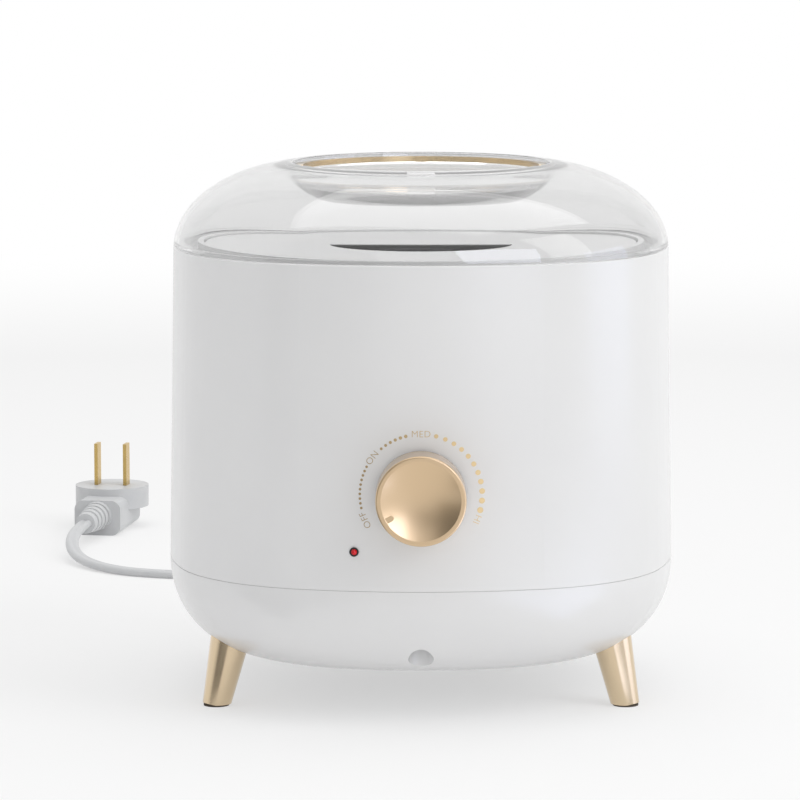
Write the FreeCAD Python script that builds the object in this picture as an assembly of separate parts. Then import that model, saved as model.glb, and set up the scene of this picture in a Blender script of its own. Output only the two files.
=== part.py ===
import FreeCAD, Part
import math
import os

V = FreeCAD.Vector
ORIGIN = V(0, 0, 0)
RIGHT = V(1, 0, 0)
BACK = V(0, 1, 0)
UP = V(0, 0, 1)

# Casing. The plan is a square with bowed sides and large round corners.
HALF_WIDTH = 88.0
HALF_WIDTH_TOP = 86.2
SEAM_LOW = 47.5
SEAM_TOP = 156.0
SEAM_GAP = 0.05
EDGE_BREAK = 0.15
WALL = 2.6
CORNER_SHIFT = 0.264
CORNER_SHRINK = 0.3034
ROUNDEST = 0.02
BASE_BOTTOM = 15.5
BASE_FLAT = 54.0
BASE_FULLNESS = 2.2
BASE_FLAT_SQUARE = 0.8
BASE_FLOOR = BASE_BOTTOM + WALL
TONGUE_TOP = 50.0

# Lid: a clear dome with a round recess for the fingers.
DOME_CENTRE_R = 38.0
DOME_CENTRE_Z = 154.8
DOME_REACH = 48.2
DOME_RISE = 30.0
DOME_WALL = 2.6
RIM_RADIUS = 46.0
RIM_ROUND = 1.0
RECESS_RADIUS = 44.6
RECESS_FLOOR_RADIUS = 30.0
RECESS_FLOOR = 174.9
RECESS_WALL_FOOT = 180.0
RECESS_SKIN = 2.0
RECESS_FLOOR_SKIN = 3.2
VENT_WIDTH = 9.3
VENT_HEIGHT = 2.5
VENT_Z = 177.0

# Lid handle, a half ring on two pins.
HANDLE_OUTER = 43.8
HANDLE_INNER = 41.2
HANDLE_LOW = 181.2
HANDLE_HIGH = 183.1
HANDLE_AXIS_Z = (HANDLE_LOW + HANDLE_HIGH) / 2
PIN_RADIUS = 0.6
PIN_INNER_END = 41.0
PIN_OUTER_END = 45.8
RUNNING_GAP = 0.05

# Top ring, collar, pot and heating well, stacked from the deck upwards.
DECK_LOW = 147.5
DECK_HIGH = 150.0
DECK_HALF = 83.3
LIP_OUTER = 78.0
LIP_INNER = 76.0
LIP_TOP = 156.8
GASKET_TOP = 150.8
WELL_FLANGE_TOP = 152.3
WELL_FLANGE_RADIUS = 68.0
WELL_OUTER = 57.5
WELL_INNER = 56.0
WELL_BOTTOM = 82.0
WELL_FLOOR = 83.5
WELL_FLAT = 50.0
DECK_HOLE = WELL_OUTER + 1.0
POT_OUTER = 55.0
POT_INNER = 53.8
POT_BOTTOM = 84.0
POT_FLOOR = 85.5
POT_FLAT = 49.0
POT_RIM_LOW = 152.6
POT_RIM_TOP = 153.8
POT_RIM_RADIUS = 66.5
COLLAR_LOW = 154.1
COLLAR_TOP = 156.0
COLLAR_RADIUS = 75.4
COLLAR_SPIGOT = 53.2
COLLAR_SPIGOT_WALL = 1.5
COLLAR_SPIGOT_DEPTH = 4.5
MOUTH_RADIUS = 32.0

# Heater band round the well, and the shield under it.
BAND_LOW = 92.0
BAND_HIGH = 126.0
BAND_OUTER = 60.0
EAR_INNER = 3.0
EAR_OUTER = 5.0
EAR_TIP = 72.0
BAND_SCREW_Y = 65.0
BAND_SCREW_Z = 109.0
SHIELD_LOW = 71.0
SHIELD_HIGH = 71.8
SHIELD_RADIUS = 58.0
STANDOFF_CIRCLE = 44.0
FUSE_Y = 20.0
FUSE_Z = WELL_BOTTOM - 2.0
FUSE_RADIUS = 2.0

# Legs: three, splayed, on a circle through their feet.
LEG_FOOT_CIRCLE = 81.3
LEG_SPLAY = 13.5
LEG_ANGLES = {"leg_front_left": 210.0, "leg_front_right": 330.0, "leg_rear": 90.0}
LEG_FOOT_RADIUS = 4.85
LEG_TOP_RADIUS = 8.2
LEG_LENGTH = 40.0
LEG_BOSS_TOP = 28.0
PAD_RADIUS = 4.4
PAD_HEIGHT = 0.6

# Fasteners stand on three axes between the legs, and on the legs' axes.
BETWEEN_LEGS = (270.0, 30.0, 150.0)
OVER_LEGS = (90.0, 210.0, 330.0)
BASE_SCREW_CIRCLE = 77.2
SCREW_WELL_RADIUS = 4.25
SCREW_WELL_TOP = 33.0
BOSS_TOP = 58.0
DECK_SCREW_CIRCLE = 75.0
LUG_LOW = 126.0
LUG_HIGH = 130.0
WELL_SCREW_CIRCLE = 63.0
SCREW_RADIUS = 1.4
SCREW_PASS = 1.7
SCREW_PILOT = 1.45

# Control: knob and thermostat on one axis along Y. Distances are forward from the casing's axis.
KNOB_Z = 80.0
KNOB_RADIUS = 15.0
KNOB_FACE = 101.7
KNOB_BACK = 88.4
KNOB_RIM = 1.7
KNOB_ROUND = 0.6
KNOB_DISH = 2.2
KNOB_SKIRT = 1.8
KNOB_SKIN = 2.0
HUB_RADIUS = 5.0
HUB_BACK = 90.8
SHAFT_RADIUS = 3.0
SHAFT_TIP = 98.0
SHAFT_FLAT = 1.0
BUSH_RADIUS = 4.5
BUSH_TIP = 90.4
THERMOSTAT_FRONT = 83.5
THERMOSTAT_BACK = 69.0
THERMOSTAT_HALF_WIDTH = 13.0
THERMOSTAT_HALF_HEIGHT = 14.0
TAB_X = 9.6
TAB_Y = -76.0
TAB_LOW = 58.0
POINTER_ANGLE = 209.5

# Indicator light, square to the casing's wall. Depths are inward from the wall's face.
LAMP_X = -22.2
LAMP_Z = 60.8
LAMP_RADIUS = 1.05
LAMP_HOLDER_RADIUS = 1.35
LAMP_DEPTH = 11.0
BOARD_THICKNESS = 1.6

# Mains cord: a flat twin cord, drawn here as a round tube of its width.
CORD_RADIUS = 2.7
GLAND_Z = 38.0
GLAND_RADIUS = 6.0
GLAND_SEAT = 80.6
GLAND_END = 101.7
LEAD_RADIUS = 1.1
CORD_ROUTE = [
    V(0, GLAND_END, GLAND_Z),
    V(0, 125, GLAND_Z),
    V(11, 148, 28),
    V(28, 170, 12),
    V(34, 197, CORD_RADIUS),
    V(18, 220, CORD_RADIUS),
    V(-10, 228, CORD_RADIUS),
    V(-40, 222, CORD_RADIUS),
    V(-70, 214, CORD_RADIUS),
    V(-101, 215, CORD_RADIUS),
    V(-127, 227, CORD_RADIUS),
    V(-143, 251, 3.2),
    V(-146, 278, 8.5),
    V(-142, 303, 8.5),
]
PLUG_DISC_RADIUS = 15.8
PLUG_DISC_LOW = 9.0
PLUG_DISC_HIGH = 18.0
PLUG_LENGTH = 66.0
PLUG_DISC_Y = PLUG_LENGTH - PLUG_DISC_RADIUS
BLADE_GAP = 12.7
BLADE_SEAT = 5.0
BLADE_HEIGHT = 23.0

parts = {}


def cylinder(radius, low, high, x=0.0, y=0.0):
    return Part.makeCylinder(radius, high - low, V(x, y, low), UP)


def cylinder_y(radius, y_from, y_to, x=0.0, z=0.0):
    return Part.makeCylinder(radius, y_to - y_from, V(x, y_from, z), BACK)


def cylinder_x(radius, x_from, x_to, y=0.0, z=0.0):
    return Part.makeCylinder(radius, x_to - x_from, V(x_from, y, z), RIGHT)


def ring(outer, inner, low, high):
    return cylinder(outer, low, high).cut(cylinder(inner, low, high))


def box(x, y, z):
    """A box from three (low, high) pairs."""
    return Part.makeBox(x[1] - x[0], y[1] - y[0], z[1] - z[0], V(x[0], y[0], z[0]))


def turned(shape, degrees, centre=ORIGIN, axis=UP):
    copy = shape.copy()
    copy.rotate(centre, axis, degrees)
    return copy


def moved(shape, offset):
    copy = shape.copy()
    copy.translate(offset)
    return copy


def fused(shapes):
    return shapes[0].multiFuse(shapes[1:]).removeSplitter()


def both_sides(shape):
    """A shape and its mirror image across the plane x = 0."""
    return [shape, shape.mirror(ORIGIN, RIGHT)]


def around(shape, angles):
    """Copies of a shape drawn on the +X axis, turned to each angle about Z."""
    return [turned(shape, angle) for angle in angles]


def group(shapes):
    """Separate solids that share one node."""
    return Part.makeCompound(shapes)


def revolved(path):
    """A solid of revolution about Z. A step is a point (r, z), or (middle, end) of an arc."""
    edges = []
    start = path[0]
    for step in path[1:] + path[:1]:
        here = V(start[0], 0, start[1])
        if isinstance(step[0], tuple):
            middle, end = step
            arc = Part.Arc(here, V(middle[0], 0, middle[1]), V(end[0], 0, end[1]))
            edges.append(arc.toShape())
        else:
            end = step
            edges.append(Part.makeLine(here, V(end[0], 0, end[1])))
        start = end
    return Part.Face(Part.Wire(edges)).revolve(ORIGIN, UP, 360)


def on_arc(centre, radius, degrees):
    """A point (r, z) on a circle in the profile plane."""
    angle = math.radians(degrees)
    return (centre[0] + radius * math.cos(angle), centre[1] + radius * math.sin(angle))


def tube(route, radius):
    """A round tube along straight runs joined by the largest tangent arcs. Prints its bend radii."""
    arc_share = 0.45
    edges = []
    radii = []
    start = route[0]
    for before, corner, after in zip(route, route[1:], route[2:]):
        back = (before - corner).normalize()
        ahead = (after - corner).normalize()
        half_turn = (math.pi - back.getAngle(ahead)) / 2
        cut_back = arc_share * min((before - corner).Length, (after - corner).Length)
        arc_radius = cut_back / math.tan(half_turn)
        entry = corner + back * cut_back
        leave = corner + ahead * cut_back
        bisector = (back + ahead).normalize()
        middle = corner + bisector * (arc_radius / math.cos(half_turn) - arc_radius)
        edges.append(Part.makeLine(start, entry))
        edges.append(Part.Arc(entry, middle, leave).toShape())
        radii.append(round(arc_radius, 1))
        start = leave
    edges.append(Part.makeLine(start, route[-1]))
    spine = Part.Wire(edges)
    section = Part.Wire(Part.makeCircle(radius, route[0], route[1] - route[0]))
    solid = spine.makePipeShell([section], True, False)
    ratio = solid.Volume / (math.pi * radius ** 2 * spine.Length)
    print("tube of %.0f mm, volume ratio %.3f, radii" % (spine.Length, ratio), radii)
    return solid


def side_arc_radius(half, shift, corner):
    """Radius of a side's bow that runs tangent into corners of a given centre and radius."""
    return (corner ** 2 - shift ** 2 - (shift - half) ** 2) / (2 * (shift - half + corner))


def squircle(half, z, square=1.0):
    """A closed outline of eight tangent arcs: four bowed sides and four round corners."""
    square = max(square, ROUNDEST)
    shift = half * CORNER_SHIFT * square
    corner = half * (1 - CORNER_SHRINK * square)
    side = side_arc_radius(half, shift, corner)
    out = V(shift - (half - side), shift, 0).normalize()
    joint = V(shift, shift, 0) + out * corner
    diagonal = shift + corner * math.sqrt(0.5)
    side_arc = Part.Arc(V(joint.x, -joint.y, 0), V(half, 0, 0), joint).toShape()
    corner_arc = Part.Arc(joint, V(diagonal, diagonal, 0), V(joint.y, joint.x, 0)).toShape()
    edges = []
    for angle in (0, 90, 180, 270):
        edges.append(turned(side_arc, angle))
        edges.append(turned(corner_arc, angle))
    outline = Part.Wire(edges)
    outline.translate(V(0, 0, z))
    return outline


def loft(sections, ruled=False):
    """A solid through outlines, each given as (half width, height) or with its squareness."""
    return Part.makeLoft([squircle(*section) for section in sections], True, ruled)


def casing_half(z):
    """Half width of the casing's outside between its two seams."""
    share = (z - SEAM_LOW) / (SEAM_TOP - SEAM_LOW)
    return HALF_WIDTH + share * (HALF_WIDTH_TOP - HALF_WIDTH)


def front_spot(x, z):
    """A point on the casing's front, and the angle that its outward normal makes with -Y."""
    half = casing_half(z)
    side = side_arc_radius(half, half * CORNER_SHIFT, half * (1 - CORNER_SHRINK))
    y = (side - half) - math.sqrt(side ** 2 - x ** 2)
    return V(x, y, z), math.degrees(math.asin(x / side))


def base_solid(skin):
    """The base's outer form, or with a skin its hollow: fuller than an ellipse in section."""
    steps = 8
    power = 2 / BASE_FULLNESS
    reach = HALF_WIDTH - BASE_FLAT - skin
    depth = SEAM_LOW - BASE_BOTTOM - skin
    sections = []
    for step in range(steps + 1):
        angle = math.pi / 2 * step / steps
        out = math.sin(angle) ** power
        down = max(math.cos(angle), 0.0) ** power
        square = BASE_FLAT_SQUARE + (1 - BASE_FLAT_SQUARE) * out
        sections.append((BASE_FLAT + reach * out, SEAM_LOW - depth * down, square))
    return loft(sections)


def dome_solid(skin, foot):
    """The lid's outer form, or with a skin its hollow, from its foot to the recess's rim."""
    steps = 7
    reach = DOME_REACH - skin
    rise = DOME_RISE - skin
    top_angle = math.acos((RIM_RADIUS - DOME_CENTRE_R) / DOME_REACH)
    foot_angle = math.asin((foot - DOME_CENTRE_Z) / rise)
    sections = []
    for step in range(steps + 1):
        angle = foot_angle + (top_angle - foot_angle) * step / steps
        half = DOME_CENTRE_R + reach * math.cos(angle)
        square = (half - RIM_RADIUS) / (HALF_WIDTH_TOP - RIM_RADIUS)
        sections.append((half, DOME_CENTRE_Z + rise * math.sin(angle), min(square, 1.0)))
    return loft(sections)


# Base: a bowl with screw columns, leg bosses, cord hole and cooling slots.
base_outer = base_solid(0.0)
leg_foot = V(LEG_FOOT_CIRCLE, 0, 0)
leg_axis = V(-math.tan(math.radians(LEG_SPLAY)), 0, 1).normalize()


def along_leg(radius_low, radius_high, low, high):
    """A round piece on the axis of a leg drawn on +X, between two heights along it."""
    start = leg_foot + leg_axis * low
    if radius_low == radius_high:
        return Part.makeCylinder(radius_low, high - low, start, leg_axis)
    return Part.makeCone(radius_low, radius_high, high - low, start, leg_axis)


def make_tongue():
    """A ring that stands up inside the upper shell's foot and keys the two together."""
    overlap = 0.5
    fit = 0.2
    root = 3.0
    inner = HALF_WIDTH - 2 * WALL
    seam = SEAM_LOW - SEAM_GAP
    foot = loft([(HALF_WIDTH - WALL + overlap, SEAM_LOW - root), (HALF_WIDTH - WALL + overlap, seam)], True)
    key = loft([(HALF_WIDTH - WALL - fit, seam), (HALF_WIDTH - WALL - fit, TONGUE_TOP)], True)
    tongue = fused([foot, key]).cut(loft([(inner, SEAM_LOW - root), (inner, TONGUE_TOP)], True))
    return tongue.cut(cylinder_y(GLAND_RADIUS + 3, 70, 100, 0, GLAND_Z))


def make_base():
    column_radius = 6.0
    leg_boss_radius = 5.5
    leg_hole_radius = 1.9
    slot_pitch = 9.0
    slot_half_width = 1.5
    slot_half_length = 22.0
    slots_each_side = 3
    rim_cut = box((-100, 100), (-100, 100), (SEAM_LOW - SEAM_GAP, SEAM_LOW + 1))
    shell = base_outer.cut(base_solid(WALL)).cut(rim_cut)
    column = cylinder(column_radius, BASE_BOTTOM, SEAM_LOW, BASE_SCREW_CIRCLE)
    collar = cylinder(column_radius, SEAM_LOW, TONGUE_TOP, BASE_SCREW_CIRCLE)
    leg_boss = along_leg(leg_boss_radius, leg_boss_radius, 0, LEG_BOSS_TOP)
    gland_pad = cylinder_y(GLAND_RADIUS + 3, GLAND_SEAT, HALF_WIDTH, 0, GLAND_Z)
    inner_forms = around(column, BETWEEN_LEGS) + around(leg_boss, OVER_LEGS) + [gland_pad]
    pieces = [shell, make_tongue()] + around(collar, BETWEEN_LEGS)
    pieces += [form.common(base_outer) for form in inner_forms]
    shell = fused(pieces)
    screw_well = cylinder(SCREW_WELL_RADIUS, 0, SCREW_WELL_TOP, BASE_SCREW_CIRCLE)
    screw_hole = cylinder(SCREW_PASS, 0, TONGUE_TOP + 1, BASE_SCREW_CIRCLE)
    leg_hole = along_leg(leg_hole_radius, leg_hole_radius, 0, LEG_LENGTH)
    shell = shell.cut(group(around(screw_well, BETWEEN_LEGS)))
    shell = shell.cut(group(around(screw_hole, BETWEEN_LEGS)))
    shell = shell.cut(group(around(leg_hole, OVER_LEGS)))
    shell = shell.cut(cylinder_y(GLAND_RADIUS, 70, 100, 0, GLAND_Z))
    for column_number in range(-slots_each_side, slots_each_side + 1):
        middle = column_number * slot_pitch
        across = (middle - slot_half_width, middle + slot_half_width)
        shell = shell.cut(box(across, (-slot_half_length, slot_half_length), (0, BASE_FLOOR + 1)))
    return shell


parts["base_shell"] = make_base()


# Three turned legs, each cut to sit on the base, with a pad under it and a screw down into it.
def make_legs():
    bore_radius = 1.8
    bore_low = 8.0
    leg = along_leg(LEG_FOOT_RADIUS, LEG_TOP_RADIUS, 0, LEG_LENGTH)
    leg = leg.cut(box((50, 110), (-20, 20), (-10, PAD_HEIGHT)))
    bore = along_leg(bore_radius, bore_radius, bore_low, LEG_LENGTH + 5)
    for name, angle in LEG_ANGLES.items():
        parts[name] = turned(leg, angle).cut(base_outer).cut(turned(bore, angle))


def make_leg_screw():
    shank_radius = 1.8
    shank_low = 10.0
    head_radius = 3.2
    head_top = LEG_BOSS_TOP + 2.4
    socket_radius = 1.0
    socket_depth = 1.2
    shank = along_leg(shank_radius, shank_radius, shank_low, LEG_BOSS_TOP)
    head = along_leg(head_radius, head_radius, LEG_BOSS_TOP, head_top)
    socket = along_leg(socket_radius, socket_radius, head_top - socket_depth, head_top + 1)
    return fused([shank, head]).cut(socket)


make_legs()
parts["foot_pads"] = group(around(cylinder(PAD_RADIUS, 0, PAD_HEIGHT, LEG_FOOT_CIRCLE), OVER_LEGS))
parts["leg_screws"] = group(around(make_leg_screw(), OVER_LEGS))


# Upper shell: one wall, with screw bosses inside and holes for the control and the light.
casing_outer = loft(
    [
        (HALF_WIDTH - EDGE_BREAK, SEAM_LOW),
        (casing_half(SEAM_LOW + EDGE_BREAK), SEAM_LOW + EDGE_BREAK),
        (casing_half(SEAM_TOP - EDGE_BREAK), SEAM_TOP - EDGE_BREAK),
        (HALF_WIDTH_TOP - EDGE_BREAK, SEAM_TOP),
    ],
    True,
)
lamp_spot, lamp_turn = front_spot(LAMP_X, LAMP_Z)


def at_lamp(piece):
    """A piece drawn with the wall's face in the plane y = 0, put at the light's place."""
    return moved(turned(piece, lamp_turn), lamp_spot)


def make_upper_shell():
    post_radius = 4.2
    rib_half_width = 1.5
    lug_half_width = 5.0
    lug_reach = DECK_SCREW_CIRCLE - 4.5
    bush_fit = 0.2
    hollow = loft([(HALF_WIDTH - WALL, SEAM_LOW), (HALF_WIDTH_TOP - WALL, SEAM_TOP)], True)
    post = cylinder(post_radius, TONGUE_TOP, BOSS_TOP, BASE_SCREW_CIRCLE)
    rib = box((BASE_SCREW_CIRCLE, 100), (-rib_half_width, rib_half_width), (TONGUE_TOP + 0.4, BOSS_TOP))
    lug = box((lug_reach, 100), (-lug_half_width, lug_half_width), (LUG_LOW, LUG_HIGH))
    wall_forms = around(rib, BETWEEN_LEGS) + around(lug, OVER_LEGS)
    pieces = [casing_outer.cut(hollow)] + around(post, BETWEEN_LEGS)
    pieces += [form.common(casing_outer) for form in wall_forms]
    shell = fused(pieces)
    post_hole = cylinder(SCREW_PILOT, TONGUE_TOP - 1, BOSS_TOP - 1, BASE_SCREW_CIRCLE)
    lug_hole = cylinder(SCREW_PASS, LUG_LOW - 1, LUG_HIGH + 1, DECK_SCREW_CIRCLE)
    shell = shell.cut(group(around(post_hole, BETWEEN_LEGS)))
    shell = shell.cut(group(around(lug_hole, OVER_LEGS)))
    shell = shell.cut(cylinder_y(BUSH_RADIUS + bush_fit, -100, -75, 0, KNOB_Z))
    return shell.cut(at_lamp(cylinder_y(LAMP_HOLDER_RADIUS, -5, LAMP_DEPTH)))


def make_base_screw():
    head_radius = 3.0
    head_height = 2.2
    socket_radius = 1.0
    head_low = SCREW_WELL_TOP - head_height
    head = cylinder(head_radius, head_low, SCREW_WELL_TOP, BASE_SCREW_CIRCLE)
    shank = cylinder(SCREW_RADIUS, SCREW_WELL_TOP, BOSS_TOP - 2, BASE_SCREW_CIRCLE)
    socket = cylinder(socket_radius, head_low - 1, head_low + head_height / 2, BASE_SCREW_CIRCLE)
    return fused([head, shank]).cut(socket)


parts["upper_shell"] = make_upper_shell()
parts["base_screws"] = group(around(make_base_screw(), BETWEEN_LEGS))


# Top ring, held down by three screws that come up through the shell's lugs.
def make_deck():
    post_radius = 4.0
    boss_radius = 3.2
    boss_depth = 6.0
    pilot_radius = 1.25
    plate = loft([(DECK_HALF, DECK_LOW), (DECK_HALF, DECK_HIGH)], True)
    plate = plate.cut(cylinder(DECK_HOLE, DECK_LOW - 1, DECK_HIGH + 1))
    lip = ring(LIP_OUTER, LIP_INNER, DECK_LOW, LIP_TOP)
    post = cylinder(post_radius, LUG_HIGH, DECK_LOW, DECK_SCREW_CIRCLE)
    boss = cylinder(boss_radius, DECK_LOW - boss_depth, DECK_LOW, WELL_SCREW_CIRCLE)
    deck = fused([plate, lip] + around(post, OVER_LEGS) + around(boss, BETWEEN_LEGS))
    post_hole = cylinder(SCREW_PILOT, LUG_HIGH - 1, DECK_LOW - 2, DECK_SCREW_CIRCLE)
    boss_hole = cylinder(pilot_radius, DECK_LOW - boss_depth + 1, DECK_HIGH + 1, WELL_SCREW_CIRCLE)
    deck = deck.cut(group(around(post_hole, OVER_LEGS)))
    return deck.cut(group(around(boss_hole, BETWEEN_LEGS)))


def make_deck_screw():
    head_radius = 2.8
    head_height = 2.0
    bite = 12.0
    head = cylinder(head_radius, LUG_LOW - head_height, LUG_LOW, DECK_SCREW_CIRCLE)
    return fused([head, cylinder(SCREW_RADIUS, LUG_LOW, LUG_HIGH + bite, DECK_SCREW_CIRCLE)])


parts["deck_ring"] = make_deck()
parts["deck_screws"] = group(around(make_deck_screw(), OVER_LEGS))


# Heating well: a spun aluminium bowl whose flange is screwed to the deck over a soft gasket.
def make_well_screw():
    """A countersunk screw, flush with the flange."""
    shank_radius = 1.2
    head_radius = 2.7
    head_height = WELL_FLANGE_TOP - GASKET_TOP
    head = Part.makeCone(shank_radius, head_radius, head_height, V(WELL_SCREW_CIRCLE, 0, GASKET_TOP), UP)
    return fused([head, cylinder(shank_radius, DECK_LOW - 4, GASKET_TOP, WELL_SCREW_CIRCLE)])


def make_well():
    outer_round = WELL_OUTER - WELL_FLAT
    inner_round = WELL_INNER - WELL_FLAT
    outer_centre = (WELL_FLAT, WELL_BOTTOM + outer_round)
    inner_centre = (WELL_FLAT, WELL_FLOOR + inner_round)
    well = revolved(
        [
            (0, WELL_BOTTOM),
            (WELL_FLAT, WELL_BOTTOM),
            (on_arc(outer_centre, outer_round, -45), (WELL_OUTER, outer_centre[1])),
            (WELL_OUTER, GASKET_TOP),
            (WELL_FLANGE_RADIUS, GASKET_TOP),
            (WELL_FLANGE_RADIUS, WELL_FLANGE_TOP),
            (WELL_INNER, WELL_FLANGE_TOP),
            (WELL_INNER, inner_centre[1]),
            (on_arc(inner_centre, inner_round, -45), (WELL_FLAT, WELL_FLOOR)),
            (0, WELL_FLOOR),
        ]
    )
    return well.cut(group(around(make_well_screw(), BETWEEN_LEGS)))


def make_gasket():
    hole_radius = 1.3
    gasket = ring(WELL_FLANGE_RADIUS, DECK_HOLE, DECK_HIGH, GASKET_TOP)
    hole = cylinder(hole_radius, DECK_HIGH - 1, GASKET_TOP + 1, WELL_SCREW_CIRCLE)
    return gasket.cut(group(around(hole, BETWEEN_LEGS)))


well_screw_socket = cylinder(0.9, WELL_FLANGE_TOP - 0.8, WELL_FLANGE_TOP, WELL_SCREW_CIRCLE)
parts["heating_chamber"] = make_well()
parts["chamber_gasket"] = make_gasket()
parts["chamber_screws"] = group(around(make_well_screw().cut(well_screw_socket), BETWEEN_LEGS))


# Heater: a band round the well, drawn tight by a screw through its two ears at the back.
def make_band():
    ear_half_height = 5.0
    hole_radius = 1.6
    gap = box((-EAR_INNER, EAR_INNER), (0, 100), (BAND_LOW - 1, BAND_HIGH + 1))
    ear_z = (BAND_SCREW_Z - ear_half_height, BAND_SCREW_Z + ear_half_height)
    ear = box((EAR_INNER, EAR_OUTER), (WELL_OUTER - 0.5, EAR_TIP), ear_z)
    ear = ear.cut(cylinder(WELL_OUTER, BAND_LOW, BAND_HIGH))
    band = ring(BAND_OUTER, WELL_OUTER, BAND_LOW, BAND_HIGH).cut(gap)
    band = fused([band] + both_sides(ear))
    return band.cut(cylinder_x(hole_radius, -8, 8, BAND_SCREW_Y, BAND_SCREW_Z))


def make_band_screw():
    shank_radius = 1.5
    head_radius = 2.8
    head_height = 2.0
    nut_height = 2.4
    tip = EAR_OUTER + nut_height + 1.6
    shank = cylinder_x(shank_radius, -tip, EAR_OUTER, BAND_SCREW_Y, BAND_SCREW_Z)
    head = cylinder_x(head_radius, EAR_OUTER, EAR_OUTER + head_height, BAND_SCREW_Y, BAND_SCREW_Z)
    nut = cylinder_x(head_radius, -EAR_OUTER - nut_height, -EAR_OUTER, BAND_SCREW_Y, BAND_SCREW_Z)
    return fused([shank, head, nut])


def make_sleeve():
    inner = BAND_OUTER + 0.5
    outer = inner + 5.5
    low = BAND_LOW - 4
    high = BAND_HIGH - 2
    window = box((-14, 14), (50, 80), (BAND_SCREW_Z - 9, BAND_SCREW_Z + 9))
    return ring(outer, inner, low, high).cut(window)


parts["heater_band"] = make_band()
parts["band_screw"] = make_band_screw()
parts["insulation_sleeve"] = make_sleeve()


# Heat shield on three standoffs under the well, with the thermal fuse clipped between them.
def make_shield():
    hole = cylinder(1.6, SHIELD_LOW - 1, SHIELD_HIGH + 1, STANDOFF_CIRCLE)
    return cylinder(SHIELD_RADIUS, SHIELD_LOW, SHIELD_HIGH).cut(group(around(hole, OVER_LEGS)))


def make_standoff():
    pillar_radius = 3.0
    stud_radius = 1.5
    nut_radius = 2.8
    nut_height = 2.2
    stud_end = SHIELD_LOW - 3.0
    pillar = cylinder(pillar_radius, SHIELD_HIGH, WELL_BOTTOM, STANDOFF_CIRCLE)
    stud = cylinder(stud_radius, stud_end, SHIELD_HIGH, STANDOFF_CIRCLE)
    nut = cylinder(nut_radius, SHIELD_LOW - nut_height, SHIELD_LOW, STANDOFF_CIRCLE)
    return fused([pillar, stud, nut])


def make_fuse():
    body_half = 6.0
    wire_half = 12.0
    wire_radius = 0.5
    body = cylinder_x(FUSE_RADIUS, -body_half, body_half, FUSE_Y, FUSE_Z)
    return fused([body, cylinder_x(wire_radius, -wire_half, wire_half, FUSE_Y, FUSE_Z)])


def make_fuse_clip():
    """A saddle round the fuse, with a foot that is spot welded under the well."""
    half_width = 4.0
    sheet = 0.8
    foot_end = FUSE_Y + 11.0
    across = (-half_width, half_width)
    arm = FUSE_RADIUS + sheet
    saddle = box(across, (FUSE_Y - arm, FUSE_Y + arm), (FUSE_Z - arm, WELL_BOTTOM))
    foot = box(across, (FUSE_Y + arm, foot_end), (WELL_BOTTOM - sheet, WELL_BOTTOM))
    channel = box((-5, 5), (FUSE_Y - FUSE_RADIUS, FUSE_Y + FUSE_RADIUS), (FUSE_Z, WELL_BOTTOM + 1))
    return fused([saddle, foot]).cut(cylinder_x(FUSE_RADIUS, -5, 5, FUSE_Y, FUSE_Z)).cut(channel)


parts["heat_shield"] = make_shield()
parts["shield_standoffs"] = group(around(make_standoff(), OVER_LEGS))
parts["thermal_fuse"] = make_fuse()
parts["fuse_clip"] = make_fuse_clip()


# Inner pot: drawn aluminium, dark coated, hanging by its rim and free to lift out.
def make_pot():
    outer_round = POT_OUTER - POT_FLAT
    inner_round = POT_INNER - POT_FLAT
    outer_centre = (POT_FLAT, POT_BOTTOM + outer_round)
    inner_centre = (POT_FLAT, POT_FLOOR + inner_round)
    return revolved(
        [
            (0, POT_BOTTOM),
            (POT_FLAT, POT_BOTTOM),
            (on_arc(outer_centre, outer_round, -45), (POT_OUTER, outer_centre[1])),
            (POT_OUTER, POT_RIM_LOW),
            (POT_RIM_RADIUS, POT_RIM_LOW),
            (POT_RIM_RADIUS, POT_RIM_TOP),
            (POT_INNER, POT_RIM_TOP),
            (POT_INNER, inner_centre[1]),
            (on_arc(inner_centre, inner_round, -45), (POT_FLAT, POT_FLOOR)),
            (0, POT_FLOOR),
        ]
    )


parts["inner_pot"] = make_pot()


# Drip collar: a plate over the pot with a half-moon mouth, whose straight edge is bevelled
# underneath and wipes the spatula.
def make_collar():
    wiping_edge = 0.3
    bevel_reach = 5.0
    plate = cylinder(COLLAR_RADIUS, COLLAR_LOW, COLLAR_TOP)
    spigot_inner = COLLAR_SPIGOT - COLLAR_SPIGOT_WALL
    spigot = ring(COLLAR_SPIGOT, spigot_inner, COLLAR_LOW - COLLAR_SPIGOT_DEPTH, COLLAR_LOW)
    left = V(-MOUTH_RADIUS, 0, COLLAR_LOW)
    right = V(MOUTH_RADIUS, 0, COLLAR_LOW)
    front = Part.Arc(left, V(0, -MOUTH_RADIUS, COLLAR_LOW), right).toShape()
    mouth = Part.Face(Part.Wire([front, Part.makeLine(right, left)]))
    edge = V(-MOUTH_RADIUS, 0, COLLAR_TOP - wiping_edge)
    under_edge = V(-MOUTH_RADIUS, bevel_reach, COLLAR_LOW)
    bevel = Part.Face(Part.makePolygon([edge, left, under_edge, edge]))
    collar = fused([plate, spigot]).cut(mouth.extrude(V(0, 0, COLLAR_TOP - COLLAR_LOW)))
    return collar.cut(bevel.extrude(right - left))


parts["drip_collar"] = make_collar()


# Lid: a clear dome with a dished recess, a vent slot and a skirt that drops into the casing's
# mouth and centres it.
def recess_form(radius, floor_radius, floor, shoulder, rim, flare):
    """The recess's dished form: a flat floor, a curved side, an upright wall and a flared rim."""
    return revolved(
        [
            (0, floor),
            (floor_radius, floor),
            (shoulder, (radius, RECESS_WALL_FOOT)),
            (radius, rim - flare),
            (on_arc((radius + flare, rim - flare), flare, 135), (radius + flare, rim)),
            (radius + flare, rim + 1),
            (0, rim + 1),
        ]
    )


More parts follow.
